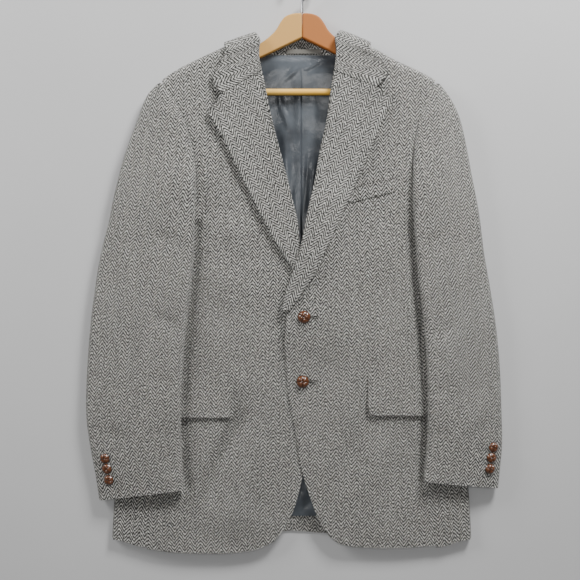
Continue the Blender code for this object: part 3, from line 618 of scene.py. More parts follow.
def turned_section(fall, stand, fat=ROLL):
    """Distances from the roll's edge and offsets from the middle layer: free edge, roll, foot."""
    flat = TWEED + TURN_GAP / 2
    turn = np.radians((50, 15, -15, -50))
    over = np.array((fall, fall * 0.66 + fat * 0.34, max(fall * 0.33, 2 * fat), fat))
    under = np.array((fat, (fat + stand) / 2, stand))
    distance = np.concatenate([over, fat * (1 - np.cos(turn)), under])
    layer = np.concatenate([np.full(3, flat), [fat], fat * np.sin(turn), [-fat], np.full(2, -flat)])
    return distance, layer


def collar_rows(side):
    """Rows of the collar from the gorge to under the back, for one side."""
    rows = COLLAR_FRONT[side]
    roll = plan(rows, "roll_x", "roll_y")
    edge = plan(rows, "edge_x", "edge_y")
    grid = []
    for start, end, stand in zip(roll, edge, rows["stand"]):
        fall = np.linalg.norm(end - start)
        distance, layer = turned_section(fall, stand)
        points = start + (end - start) / fall * distance[:, None]
        z = front_z(points[:, 0], points[:, 1]) + TURN_GAP / 2 + layer
        grid.append(np.column_stack([points, z]))
    along, inwards = shoulder_frame(side)
    neck = NECK_POINT[side]
    base = (front_z(*(neck + inwards * RIDGE)) + back_z(*(neck + inwards * RIDGE))) / 2
    for angle, fall, stand in zip(*(COLLAR_TURN[k] for k in ("angle", "fall", "stand"))):
        turn = math.radians(angle)
        distance, layer = turned_section(fall, stand)
        reach = RIDGE + TURN_GAP / 2 + layer
        straight = neck + along * distance[:, None]
        axis = straight + inwards * RIDGE
        axis[:, 1] += smooth(axis[:, 0], SHOULDER["x"], SHOULDER["y"]) - straight[:, 1]
        points = axis - inwards * reach[:, None] * math.cos(turn)
        grid.append(np.column_stack([points, base + reach * math.sin(turn)]))
    return grid


def sleeve_section(side, row):
    """One row of the top sleeve: distance in from the outer edge, and height of the outer face."""
    rows = SLEEVE[side]
    outer, inner, _, width = (part[row] for part in sleeve_rows(side))
    turned = rows["turned"][row]
    fold = rows["fold"][row] / 2
    rest = front_z(*inner) + min(1.0, 4 * turned) * rows["clear"][row]
    round_out = min(10.0, width / 2.2)
    round_in = min(11.0 - 2 * turned, width / 2.5)
    rise = rows["rise"][row]
    low_turn = -math.pi / 2 * turned
    centre = rest - rise * math.sin(low_turn)
    angles = np.linspace(low_turn, math.pi / 2, 5)
    in_r = width - round_in + round_in * np.cos(angles)
    in_z = centre + rise * np.sin(angles)
    foot_r = in_r[0] - 1.0 - 14.0 * turned
    foot_z = in_z[0] - 2.5 * (1 - turned)
    s = np.linspace(0, 1, 6)[1:-1]
    top_r = (width - round_in) + (round_out - width + round_in) * s
    top_z = in_z[-1] + (2 * fold - in_z[-1]) * s + 3.0 * np.sin(math.pi * s)
    out_angles = np.radians((90, 45, 0, -45, -90))
    out_r = round_out * (1 - np.cos(out_angles))
    out_z = fold * (1 + np.sin(out_angles))
    under = max(rows["under"][row], round_out + 1)
    r = np.concatenate([[foot_r], in_r, top_r, out_r, [under]])
    z = np.concatenate([[foot_z], in_z, top_z, out_z, [0.0]])
    return r, z


def lining_z(x, y):
    """Upper face of the back lining, with the ease pleat stepping down just left of the middle."""
    flat = neck_lift(x, y) + TWEED + LINING_AIR * (1 + 2 * ease((y - 235) / 50)) + SATIN
    from_crease = PLEAT_CREASE - x
    pleat = ease(1 - from_crease / PLEAT_WIDTH) * ease((from_crease + 3) / 3)
    return flat + PLEAT_HEIGHT * pleat * ease((352 - y) / 60) * ease((y + 345) / 120)


def hanger_outline(direction):
    """One arm with its half of the head, from the centre joint outwards."""
    top, half, foot, foot_half = HANGER_HEAD
    slope = math.tan(HANGER_SLOPE)
    gap = SEAM / 2
    end = HANGER_REACH

    def upper(x):
        return HANGER_APEX_Y + HANGER_DEPTH - slope * x

    def lower(x):
        return HANGER_APEX_Y - slope * x

    points = [(gap, lower(gap)), (end - 12, lower(end - 12)), (end - 3, lower(end - 3) + 4)]
    points += [(end, lower(end) + 12), (end - 3, upper(end - 3) - 4), (end - 12, upper(end - 12))]
    points += [(72, upper(72) - 1.5), (61, upper(61) + 1), (52, 384.5), (44, 392), (foot_half, foot)]
    points += [(half + 1, top - 6), (half - 3, top), (gap, top)]
    outline = [(CENTRE + direction * x, y) for x, y in points]
    return outline if direction > 0 else outline[::-1]


def hook_points(z):
    """Straight shank, a tight bend sideways, then most of a circle."""
    start = HANGER_HEAD[0] + SEAM
    bend_y = start + HOOK_SHANK - HOOK_BEND
    points = [(CENTRE, start, z), (CENTRE, bend_y, z)]
    for angle in np.radians(np.linspace(150, 90, 4)):
        x = CENTRE + HOOK_BEND * (1 + math.cos(angle))
        points.append((x, bend_y + HOOK_BEND * math.sin(angle), z))
    centre_y = start + HOOK_SHANK + HOOK_RADIUS
    for angle in np.radians(np.linspace(-60, 200, 22)):
        points.append((CENTRE + HOOK_RADIUS * math.cos(angle), centre_y + HOOK_RADIUS * math.sin(angle), z))
    return points


# Meshes


def frame_shift():
    """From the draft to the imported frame, read from the trouser bar's middle."""
    low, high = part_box("hanger_bar")
    middle = (np.array(low) + np.array(high)) / 2 / MM
    return middle - np.array((CENTRE, BAR_Y, HANGER_Z + HANGER_WALL / 2))


def refine(grid, lengthwise, crosswise):
    """Cubic curves through a coarse grid, first along its rows and then along its columns."""
    for axis, times in ((0, lengthwise), (1, crosswise)):
        lines = np.moveaxis(grid, axis, 0)
        knots = np.arange(len(lines), dtype=float)
        places = np.linspace(0, knots[-1], (len(lines) - 1) * times + 1)
        grid = np.moveaxis(smooth(places, knots, lines), 0, axis)
    return grid


def grid_normals(grid):
    """Unit normals of a grid: the cross product of its two directions."""
    return unit(np.cross(np.gradient(grid, axis=0), np.gradient(grid, axis=1)))


def crossing_lengths(grid, axis):
    """Length run along one direction of a grid, from its first row or column."""
    steps = np.linalg.norm(np.diff(grid, axis=axis), axis=-1)
    return np.concatenate([np.zeros_like(np.take(steps, [0], axis)), np.cumsum(steps, axis)], axis)


def grid_faces(rows, columns):
    index = np.arange(rows * columns).reshape(rows, columns)
    return np.stack([index[:-1, :-1], index[:-1, 1:], index[1:, 1:], index[1:, :-1]], -1).reshape(-1, 4)


def signed_volume(verts, faces):
    """Volume of a closed mesh of quads, positive when the faces point out."""
    a, b, c, d = (verts[faces[:, k]] for k in range(4))
    return float((np.cross(a, b) * c + np.cross(a, c) * d).sum()) / 6


def add_piece(name, verts, faces, material, uv=None, edge=None, nodes=(), sharp=40.0):
    """A smooth piece from draft points and quads, with its cloth coordinates and edge distance."""
    mesh = bpy.data.meshes.new(name)
    placed = (np.asarray(verts, float) + frame_shift()) * MM
    mesh.from_pydata(placed.tolist(), [], faces if isinstance(faces, list) else faces.tolist())
    corner = np.zeros(len(mesh.loops), np.int32)
    mesh.loops.foreach_get("vertex_index", corner)
    if uv is not None:
        layer = mesh.uv_layers.new(name="cloth")
        layer.data.foreach_set("uv", (np.asarray(uv).reshape(-1, 2)[corner] * MM).ravel())
    if edge is not None:
        distance = mesh.attributes.new("edge_distance", "FLOAT", "POINT")
        distance.data.foreach_set("value", np.asarray(edge, float).ravel() * MM)
    mesh.materials.append(material)
    mesh.shade_smooth()
    mesh.set_sharp_from_angle(angle=math.radians(sharp))
    piece = bpy.data.objects.new(name, mesh)
    bpy.context.scene.collection.objects.link(piece)
    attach(piece, "root")
    if nodes:
        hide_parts(*nodes)
    return piece


def cloth_piece(name, grid, uv, wall, outward, material, edge=None, nodes=(), held="laid"):
    """Closed wall behind a grid of outer points.

    The inner face is the outer one moved in by the wall along its normals, and a rim joins the two round
    the border. outward points out of the outer face at the middle of the last column.
    """
    rows, columns = grid.shape[:2]
    normals = grid_normals(grid)
    if normals[rows // 2, -1] @ np.asarray(outward, float) < 0:
        normals = -normals
    verts = np.concatenate([grid.reshape(-1, 3), (grid - normals * wall).reshape(-1, 3)])
    quads = grid_faces(rows, columns)
    index = np.arange(rows * columns).reshape(rows, columns)
    border = np.concatenate([index[0], index[1:, -1], index[-1, -2::-1], index[-2:0:-1, 0]])
    follow = np.roll(border, -1)
    count = rows * columns
    rim = np.stack([border, border + count, follow + count, follow], -1)
    faces = np.concatenate([quads, quads[:, ::-1] + count, rim])
    if signed_volume(verts, faces) < 0:
        faces = faces[:, ::-1]
    if edge is None:
        edge = np.full(grid.shape[:2], FAR)
    uvs = np.concatenate([uv.reshape(-1, 2)] * 2)
    edges = np.concatenate([np.asarray(edge).ravel(), np.full(count, FAR)])
    piece = add_piece(name, verts, faces, material, uvs, edges, nodes)
    if held is None:
        return piece
    length = crossing_lengths(grid, 0)[-1].max() * MM
    width = crossing_lengths(grid, 1)[:, -1].max() * MM
    return piece


def tube(name, path, radius, material, sides=12, nodes=()):
    """Round wire or thread: a circle carried along a path, closed by rounding in at both ends."""
    path = np.asarray(path, float)
    tangent = unit(np.gradient(path, axis=0))
    side = unit(np.cross(tangent, (0.0, 0.0, 1.0)))
    up = np.cross(side, tangent)
    ends = np.array((0.02, 0.55, 0.9))
    size = np.concatenate([ends, np.ones(len(path) - 2), ends[::-1]]) * radius
    pull = np.concatenate([[0, 0.12, 0.45], np.zeros(len(path) - 2), [-0.45, -0.12, 0]]) * radius
    pick = np.concatenate([[0, 0, 0], np.arange(1, len(path) - 1), [len(path) - 1] * 3])
    angle = np.arange(sides) * 2 * math.pi / sides
    across, upwards = np.cos(angle)[None, :, None], np.sin(angle)[None, :, None]
    ring = across * side[pick][:, None] + upwards * up[pick][:, None]
    grid = path[pick][:, None] + tangent[pick][:, None] * pull[:, None, None] + ring * size[:, None, None]
    rows = len(pick)
    index = np.arange(rows * sides).reshape(rows, sides)
    after = np.roll(index, -1, axis=1)
    faces = np.stack([index[:-1], after[:-1], after[1:], index[1:]], -1).reshape(-1, 4)
    verts = grid.reshape(-1, 3)
    caps = [index[0][::-1].tolist(), index[-1].tolist()]
    closed = faces if signed_volume(verts, faces) > 0 else faces[:, ::-1]
    if closed is not faces:
        caps = [cap[::-1] for cap in caps]
    return add_piece(name, verts, closed.tolist() + caps, material, nodes=nodes)


# Folds of the cloth


def creases(tab, x, y):
    """Sum of soft ridges and troughs.

    Each has a bell profile across its line, and swells and dies away along it, a little past the middle,
    so that no two are alike.
    """
    total = np.zeros(np.broadcast(x, y).shape)
    for x0, y0, x1, y1, width, height in zip(*(tab[k] for k in "x0 y0 x1 y1 width height".split())):
        run = math.hypot(x1 - x0, y1 - y0)
        along = ((x - x0) * (x1 - x0) + (y - y0) * (y1 - y0)) / run
        across = ((x - x0) * (y1 - y0) - (y - y0) * (x1 - x0)) / run
        t = np.clip(along / run, 0, 1)
        bend = across + 0.25 * width * np.sin(3.1 * t + x0)
        swell = np.sin(math.pi * t ** 0.8) ** 1.2 * (1 + 0.25 * np.sin(9 * t + y0))
        total += height * swell * np.exp(-((bend / width) ** 2))
    return total


def waviness(x, y, seed, size=110.0, height=0.7):
    """Faint unevenness of cloth that lies loose: a few long sine waves in turned directions."""
    draw = np.random.default_rng(seed)
    total = np.zeros(np.broadcast(x, y).shape)
    for _ in range(6):
        angle, phase, scale = draw.uniform(0, math.pi), draw.uniform(0, 6.28), size * draw.uniform(0.55, 1.5)
        total += np.sin((x * math.cos(angle) + y * math.sin(angle)) * 2 * math.pi / scale + phase)
    return total * height / 3


def front_folds(side, x, y):
    """Creases of one front, dying out where another piece lies on it or under it."""
    reach = 150 if side == "right" else 178
    free = ease((reach - np.abs(x)) / 26) * ease((y + 404) / 26)
    from_overlap = ease((np.abs(x - 12) - 36) / 26)
    under_lapel = ease((150 + 190 - y - np.abs(x - 10) * 0.3) / 80)
    loose = waviness(x, y, 3 if side == "left" else 8, height=1.1) - 0.4
    pressed = -1.6 * np.exp(-((lapel_edge_distance(side, x, y) - 2) / 6) ** 2) * ease((y - 20) / 60)
    folds = (creases(FRONT_CREASES[side], x, y) + loose * ease((170 - y) / 60)) * free * under_lapel
    points = np.stack(np.broadcast_arrays(x, y), -1)
    _, inner, _, _ = sleeve_rows(side)
    beside = -4.0 * np.exp(-((line_distance(points, inner[ARMPIT_ROW:]) - 2) / 6) ** 2) * ease((y + 396) / 40)
    return (folds + pressed) * from_overlap + beside


def lapel_edge_distance(side, x, y):
    """Distance in plan from the lapel's free edge."""
    points = np.stack(np.broadcast_arrays(x, y), -1)
    return line_distance(points, plan(LAPEL[side], "edge_x", "edge_y"))


def front_surface(side, x, y):
    """Outer face of one front with its creases."""
    return panel_z(side, x, y) + front_folds(side, x, y)


def line_distance(points, line):
    """Distance in plan from grid points to a polyline."""
    line = np.asarray(line, float)
    start, step = line[:-1], np.diff(line, axis=0)
    away = points[..., None, :2] - start
    t = np.clip((away * step).sum(-1) / (step ** 2).sum(-1), 0, 1)
    return np.linalg.norm(away - t[..., None] * step, axis=-1).min(-1)


def around_uv(grid, middle, turn=False):
    """Cloth coordinates of a piece that wraps: across from its middle column, and along that column."""
    across = crossing_lengths(grid, 1)
    across = across - across[:, middle:middle + 1]
    along = np.repeat(crossing_lengths(grid, 0)[:, middle:middle + 1], grid.shape[1], 1)
    return np.stack([along, across] if turn else [across, along], -1)


def plan_uv(grid, lean=0.0):
    """Cloth coordinates of a piece that lies flat, its stripes leaning from upright by some degrees."""
    turn = math.radians(lean)
    x, y = grid[..., 0], grid[..., 1]
    return np.stack([x * math.cos(turn) + y * math.sin(turn), y * math.cos(turn) - x * math.sin(turn)], -1)


# Cloth pieces


def make_front(side):
    """A front: a patch between hem, shoulder, front edge and side seam, at the height of its surface."""
    at = np.linspace(0, 1, 211)
    columns = np.linspace(0, 1, 81)
    outer = through(front_outer(side), at)
    inner = through(front_inner(side), at)
    hem = through(FRONT_HEM[side], columns)
    shoulder_x = inner[-1, 0] + (outer[-1, 0] - inner[-1, 0]) * columns
    shoulder = np.stack([shoulder_x, smooth(shoulder_x, SHOULDER["x"], SHOULDER["y"])], 1)
    inner[0], outer[0], inner[-1], outer[-1] = hem[0], hem[-1], shoulder[0], shoulder[-1]
    plan_grid = patch(hem, shoulder, inner, outer)
    grid = with_z(plan_grid, lambda x, y: front_surface(side, x, y))
    finished = np.concatenate([FRONT_HEM[side][::-1], FRONT_EDGE[side]])
    edge = line_distance(plan_grid, finished)
    cloth_piece("cloth_front_" + side, grid, plan_uv(grid), TWEED, (0, 0, 1), tweed(), edge,
                ["front_" + side])


def make_back(side):
    """A back half: flat where it rests, lifted over the collar's fall."""
    at = np.linspace(0, 1, 121)
    columns = np.linspace(0, 1, 41)
    outer = through(back_outer(side), at)
    inner = through(np.array(CENTRE_BACK, float) + (SEAM / 2 * sign(side), 0), at)
    hem = through(BACK_HEM[side], columns)
    hem[:, 0] += SEAM / 2 * sign(side) * (1 - columns)
    neck = back_neck(side)
    ridge_x = np.linspace(neck[-1][0], outer[-1, 0], 6)[1:]
    ridge = np.stack([ridge_x, smooth(ridge_x, SHOULDER["x"], SHOULDER["y"])], 1)
    top = resample(np.concatenate([neck, ridge]), columns)
    inner[0], outer[0], inner[-1], outer[-1] = hem[0], hem[-1], top[0], top[-1]
    grid = with_z(patch(hem, top, inner, outer), back_z)
    edge = line_distance(grid, BACK_HEM[side])
    cloth_piece("cloth_back_" + side, grid, plan_uv(grid), TWEED, (0, 0, -1), tweed(), edge,
                ["back_" + side])


def make_side(side):
    """A side body: flat under the back, a half circle round the fold, and up onto the front."""
    turns = np.radians((-90, -60, -30, 0, 30, 60, 90))
    levels = np.linspace(SIDE_LOW, SIDE_HIGH, SIDE_ROWS)
    grid = np.zeros((*levels.shape, 3))
    for row, y in enumerate(levels):
        edge = fold_x(np.full(len(y), float(sign(side))), y)
        half = smooth(y, BODY["y"], BODY["side"]) / 2
        fold = half[3:10] * (1 - np.cos(turns))
        reach = np.concatenate([(SIDE_BACK, 38.0, 22.0), fold, (22.0, 38.0, SIDE_FRONT)])
        x = sign(side) * (edge - reach)
        top = full_height(x, y)
        z = np.concatenate([np.zeros(3), half[3:10] * (1 + np.sin(turns)), top[10:]])
        grid[row] = np.stack([x, y, z], 1)
    grid = refine(grid, 8, 5)
    grid[..., 2] = np.maximum(grid[..., 2], 0.0)
    cloth_piece("cloth_side_" + side, grid, around_uv(grid, 30), TWEED, (0, 0, 1), tweed(),
                nodes=["side_" + side], held="folded")


def make_lapel(side):
    """A lapel: its section turns back over the front in a soft roll, row by row up the roll line."""
    roll, edge = lapel_rows(side)
    out = unit(edge - roll)
    width = np.linalg.norm(edge - roll, axis=1)
    grid = []
    for start, way, fall in zip(roll, out, width):
        distance, layer = turned_section(fall, min(FOOT, fall - 1))
        points = start + way * distance[:, None]
        z = panel_z(side, points[:, 0], points[:, 1]) + TURN_GAP / 2 + layer
        grid.append(np.column_stack([points, z]))
    grid = refine(np.array(grid), 10, 6)
    from_edge = crossing_lengths(grid, 1)
    grid[..., 2] += LAPEL_SPRING * ease(1 - from_edge / 42) * ease((grid[..., 1] + 20) / 90)
    from_gorge = line_distance(grid, np.stack([roll[-1], edge[-1]]))
    near_point = line_distance(grid, edge[-3:])
    distance = np.minimum(from_edge, near_point) + np.where(from_gorge < 4, FAR, 0)
    cloth_piece("cloth_lapel_" + side, grid, plan_uv(grid, LAPEL_GRAIN[side]), TWEED, (0, 0, -1), tweed(),
                distance, ["lapel_" + side], "folded")


def make_collar():
    """The collar: one turned section carried up one side, round the shoulder and behind the neck."""
    back = []
    roll = plan(COLLAR_BACK, "roll_x", "roll_y")
    edge = plan(COLLAR_BACK, "edge_x", "edge_y")
    for start, end, stand in zip(roll, edge, COLLAR_BACK["stand"]):
        fall = np.linalg.norm(end - start)
        distance, layer = turned_section(fall, stand)
        points = start + (end - start) / fall * distance[:, None]
        back.append(np.column_stack([points, NECK_LIFT - TURN_GAP / 2 - layer]))
    grid = refine(np.array(collar_rows("right") + back + collar_rows("left")[::-1]), 8, 5)
    from_edge = crossing_lengths(grid, 1)
    on_front = grid[..., 2] > 20
    spring = LAPEL_SPRING * ease(1 - from_edge / 30) * ease((grid[..., 2] - 20) / 6)
    grid[..., 2] += np.where(on_front, spring, 0)
    cloth_piece("cloth_collar", grid, around_uv(grid, 8, turn=True), TWEED, (0, 0, 1), tweed(),
                from_edge, ["collar"], "folded")


def make_sleeve_top(side):
    """A top sleeve: its section wraps from the inner fold over the arm and round the outer fold."""
    outer, _, inwards, _ = sleeve_rows(side)
    grid = []
    for row in range(len(outer)):
        r, z = sleeve_section(side, row)
        grid.append(np.column_stack([outer[row] + inwards[row] * r[:, None], z]))
    grid = refine(np.array(grid), 12, 6)
    normals = grid_normals(grid)
    upward = np.clip(np.abs(normals[..., 2]) * np.where(grid[..., 2] > 12, 1, 0), 0, 1) ** 2
    x, y = grid[..., 0], grid[..., 1]
    away = ease((290 - y) / 50) * ease((y + 300) / 20)
    loose = waviness(x, y, 21 if side == "left" else 34, 90.0, 0.9)
    grid[..., 2] += (creases(SLEEVE_CREASES[side], x, y) + loose) * upward * away
    cuff = grid[0 if grid[0, 0, 1] < grid[-1, 0, 1] else -1]
    edge = line_distance(grid, cuff[:, :2])
    cloth_piece("cloth_sleeve_top_" + side, grid, around_uv(grid, 48), TWEED, (0, 0, -1), tweed(),
                edge + 400, ["sleeve_top_" + side], "folded")


def make_sleeve_under(side):
    """An under sleeve: flat beside the body, then up over its side fold and onto the front."""
    outer, _, inwards, _ = sleeve_rows(side)
    rows = SLEEVE[side]
    grid = []
    for row in range(ARMPIT_ROW, len(outer)):
        section, _ = sleeve_section(side, row)
        start, end = section[-1] + SEAM, section[0] - SEAM
        share = np.array((0, 0.09, 0.18, 0.3, 0.45, 0.7, 1))
        r = np.concatenate([[start], start + 3 + (end - start - 3) * share])
        points = outer[row] + inwards[row] * r[:, None]
        x, y = points[:, 0], points[:, 1]
        edge = np.interp(0, inside(x, y), r)
        ramp = max(start + 3, edge - 30)
        cover = ease((r - ramp) / (edge - 1 - ramp))
        z = cover * (full_height(x, y) + rows["clear"][row])
        grid.append(np.column_stack([points, z]))
    grid = refine(np.array(grid), 8, 4)
    grid[..., 2] = np.maximum(grid[..., 2], 0.0)
    cloth_piece("cloth_sleeve_under_" + side, grid, around_uv(grid, 14), TWEED, (0, 0, -1), tweed(),
                nodes=["sleeve_under_" + side])


def make_flap(side):
    """A pocket flap: a patch with rounded lower corners that follows the front, lifting at its free edge."""
    x0, y0 = FLAP_CORNER[side]
    across = np.linspace(0, 1, 67)
    depth = FLAP_DEPTH - 7.0 * np.abs(2 * across - 1) ** 16
    rows = np.linspace(0, 1, 33)[:, None]
    shrink = 1 - 2.0 / FLAP_LENGTH * rows ** 6
    x = x0 + sign(side) * FLAP_LENGTH * (0.5 + (across[None] - 0.5) * shrink)
    y = y0 - rows * depth[None]
    spring = FLAP_SPRING * rows ** 2 * (0.7 + 0.3 * np.cos(9 * across))
    z = front_surface(side, x, y) + SEAM + FLAP_WALL + spring
    grid = np.stack([x, y, z], -1)
    edge = np.minimum(np.minimum(across, 1 - across)[None] * FLAP_LENGTH, (1 - rows) * FLAP_DEPTH)
    cloth_piece("cloth_flap_" + side, grid, plan_uv(grid), FLAP_WALL, (0, 0, 1), tweed(),
                edge, ["flap_" + side])


def make_welt():
    """The breast welt: a narrow slanting band on the left front."""
    start, end = (np.array(p, float) for p in WELT)
    across = np.linspace(0, 1, 37)[None, :, None]
    rows = np.linspace(0, 1, 13)[:, None, None]
    points = start + (end - start) * across + rows * np.array((1.5, -WELT_DEPTH))
    grid = with_z(points, lambda x, y: front_surface("left", x, y) + 2 * SEAM + WELT_WALL)
    edge = np.minimum(rows[..., 0] * WELT_DEPTH, FAR) + 0 * across[..., 0]
    cloth_piece("cloth_breast_welt", grid, plan_uv(grid, 1.5), WELT_WALL, (0, 0, 1), tweed(),
                edge, ["breast_welt"])


def make_lining():
    """The back lining: a loose satin sheet with its ease pleat and small pulled creases."""
    at = np.linspace(0, 1, 241)
    right = through(LINING_EDGE["right"], at)
    left = through(LINING_EDGE["left"], at)
    share = np.linspace(-1, 1, 161)
    share = np.sign(share) * np.abs(share) ** 2.2
    hem_x = np.interp(share, (-1, 0, 1), (right[0, 0], PLEAT_CREASE, left[0, 0]))
    hem = np.stack([hem_x, np.full(len(share), right[0, 1])], 1)
    top_y = COLLAR_BACK["roll_y"][2] - COLLAR_BACK["stand"][2] - 2 * SEAM
    top_x = np.interp(share, (-1, 0, 1), (right[-1, 0], PLEAT_CREASE, left[-1, 0]))
    drop = ease((np.abs(top_x - CENTRE) - 62) / 70) * (top_y - right[-1, 1])
    top = np.stack([top_x, top_y - drop], 1)
    right[-1], left[-1], right[0], left[0] = top[0], top[-1], hem[0], hem[-1]
    points = patch(hem, top, right, left)
    x, y = points[..., 0], points[..., 1]
    loose = (waviness(x, y, 5, 60.0, 0.5) + 0.5) * ease((150 - np.abs(x)) / 60) * ease((top_y - 4 - y) / 24)
    grid = with_z(points, lining_z)
    grid[..., 2] += np.maximum(creases(LINING_CREASES, x, y) + loose, -0.4) * ease((top_y - 1 - y) / 10)
    cloth_piece("satin_lining", grid, plan_uv(grid), SATIN, (0, 0, 1), satin(),
                nodes=["lining_back"])


def make_loop():
    """The hanger loop: a narrow band of satin that bows up between its sewn ends."""
    (x0, y0), (x1, y1) = LOOP
    share = np.linspace(0, 1, 61)[None, :]
    across = np.linspace(0, 1, 13)[:, None]
    z = NECK_LIFT + TWEED + 0.5 + SEAM + SATIN + LOOP_BOW * np.sin(math.pi * share)
    z = z + 0.25 * np.sin(math.pi * across) * np.ones_like(share)
    grid = np.stack([x0 + (x1 - x0) * share + 0 * across, y0 + (y1 - y0) * across + 0 * share, z], -1)
    cloth_piece("satin_hanger_loop", grid, plan_uv(grid), SATIN, (0, 0, 1), tape(),
                nodes=["hanger_loop"], held=None)


# Stitches


def make_buttonholes():
    """Worked buttonholes: a thread laid round each slit, one end wider than the other."""
    for number, (x, y) in enumerate(BUTTONHOLES, 1):
        turn = np.linspace(0, 2 * math.pi, 61)[:-1]
        px = x + 6.5 * np.cos(turn)
        py = y + 1.5 * np.sin(turn) * (1 + 0.25 * np.cos(turn))
        pz = front_surface("left", px, py) + 0.35
        tube(f"buttonhole_thread_{number}", np.stack([px, py, pz], 1), 0.62, thread_dark(), 8)


def make_stand_stitching():
    """Zigzag stitches over the lower edge of the collar's stand: a thread that swings from side to side."""
    steps = np.arange(0, 2 * 34 + 1)
    x = -46.0 + steps * 1.7
    y = 361.4 + 1.5 * np.where(steps % 2 == 0, 1, -1)
    fine = np.linspace(0, 1, 6 * len(steps))
    path = resample(np.stack([x, y], 1), fine)
    z = NECK_LIFT + TWEED + 0.62 + 0.12 * np.abs(np.sin(fine * len(steps) * math.pi / 2))
    tube("stand_zigzag_thread", np.column_stack([path, z]), 0.42, thread_light(), 6)


# Buttons


def button_seat(name):
    """Middle and normal of a button's foot, from the top of its box and the spread of its faces."""
    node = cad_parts[name]
    points = np.array([v.co for v in node.data.vertices]) / MM - frame_shift()
    centre = points.mean(0)
    spin = np.linalg.svd(points - centre)[2]
    normal = spin[2] * np.sign(spin[2][2])
    height = (points - centre) @ normal
    return centre + normal * height.min(), normal, height.max() - height.min()


def make_button(name, radius, turn):
    """Plaited leather button: a dome over a square grid squeezed to a disc, its height swelling along
    each strip of the plait and dropping where strips cross, closed underneath by a rolled edge."""
    foot, normal, height = button_seat(name)
    count = 73
    s = np.linspace(-1, 1, count)
    a, b = np.meshgrid(s, s, indexing="ij")
    dx, dy = a * np.sqrt(1 - b ** 2 / 2), b * np.sqrt(1 - a ** 2 / 2)
    r = np.clip(np.hypot(dx, dy), 0, 1)
    strips = 2
    u, v = (a + 1) / 2 * strips, (b + 1) / 2 * strips
    over = (np.floor(u) + np.floor(v)) % 2 < 1
    cross_u, cross_v = np.sin(math.pi * (u % 1)), np.sin(math.pi * (v % 1))
    plait = np.where(over, cross_u ** 0.5 * (0.62 + 0.38 * cross_v), cross_v ** 0.5 * (0.62 + 0.38 * cross_u))
    crown = radius * 0.62 * np.sqrt(1 - 0.92 * r ** 2) + radius * 0.04
    top = crown + radius * 0.2 * (plait - 0.5) * (1 - r ** 6)
    top = np.minimum(top, height + 0.3)
    under = radius * 0.16 * (1 - np.sqrt(1 - 0.96 * r ** 2)) * 1.6
    side = unit(np.cross((math.sin(turn), math.cos(turn), 0), normal))
    other = np.cross(normal, side)
    spread = radius * 0.985

    def place(height_map, shrink):
        flat = (dx * shrink)[..., None] * side + (dy * shrink)[..., None] * other
        return foot + flat * spread + height_map[..., None] * normal

    upper, lower = place(top, 1.0), place(under, 0.93)
    verts = np.concatenate([upper.reshape(-1, 3), lower.reshape(-1, 3)])
    quads = grid_faces(count, count)
    index = np.arange(count * count).reshape(count, count)
    border = np.concatenate([index[0], index[1:, -1], index[-1, -2::-1], index[-2:0:-1, 0]])
    follow = np.roll(border, -1)
    rim = np.stack([border, border + count ** 2, follow + count ** 2, follow], -1)
    faces = np.concatenate([quads, quads[:, ::-1] + count ** 2, rim])
    if signed_volume(verts, faces) < 0:
        faces = faces[:, ::-1]
    uv = np.concatenate([np.stack([u, v], -1).reshape(-1, 2)] * 2) / MM
    add_piece("leather_" + name, verts, faces, leather(), uv, nodes=[name])


# Hanger


def make_arm(side):
    """A wooden arm: its outline raised to the arm's thickness, with its long edges rounded off."""
    direction = sign(side)
    outline = np.array(hanger_outline(direction))[::direction]
    head = through([(CENTRE + direction * x, y) for x, y in ARM_HEAD], np.linspace(0, 1, 29))
    outline = np.concatenate([outline[:6], head])[::direction]
    count = len(outline)
    low, high = HANGER_Z, HANGER_Z + HANGER_WALL
    verts = np.concatenate([np.column_stack([outline, np.full(count, z)]) for z in (low, high)])
    index = np.arange(count)
    sides = np.stack([index, (index + 1) % count, (index + 1) % count + count, index + count], -1).tolist()
    faces = [index[::-1].tolist(), (index + count).tolist()] + sides
    # The right arm takes the paler copy of the beech as painted light, and the left arm the darker copy as
    # painted shade.
    material = wood("wood_light") if side == "right" else wood("wood_dark")
    arm = add_piece("wood_arm_" + side, verts, faces, material, nodes=["hanger_arm_" + side])
    bevel = arm.modifiers.new("rounded edges", "BEVEL")
    bevel.width = 2.8 * MM
    bevel.segments = 3
    bevel.limit_method = "ANGLE"
    bevel.angle_limit = math.radians(50)
    bevel.harden_normals = True


def make_bar():
    """The trouser bar: a dowel carried along a straight path."""
    reach = (HANGER_APEX_Y - BAR_Y - BAR_RADIUS) / math.tan(HANGER_SLOPE) - SEAM
    x = np.linspace(CENTRE - reach, CENTRE + reach, 41)
    path = np.column_stack([x, np.full(len(x), BAR_Y), np.full(len(x), HANGER_Z + HANGER_WALL / 2)])
    tube("wood_bar", path, BAR_RADIUS, wood("wood_bar"), 40, ["hanger_bar"])


def make_hook():
    """The hook: wire carried up its shank, round a tight bend and most of a circle."""
    points = np.array(hook_points(HANGER_Z + HANGER_WALL / 2))
    path = resample(points, np.linspace(0, 1, 121))
    tube("steel_hook", path, HOOK_WIRE, steel(), 20, ["hanger_hook"])


# Materials


def linear(colour):
    """sRGB hex digits to linear red, green, blue and alpha."""
    parts = [int(colour[i:i + 2], 16) / 255 for i in (0, 2, 4)]
    return (*(p / 12.92 if p <= 0.04045 else ((p + 0.055) / 1.055) ** 2.4 for p in parts), 1.0)


def new_material(name):
    """An empty material with its Principled shader, to be finished by the caller."""
    material = bpy.data.materials.new(name)
    material.use_nodes = True
    return material, material.node_tree, material.node_tree.nodes["Principled BSDF"]


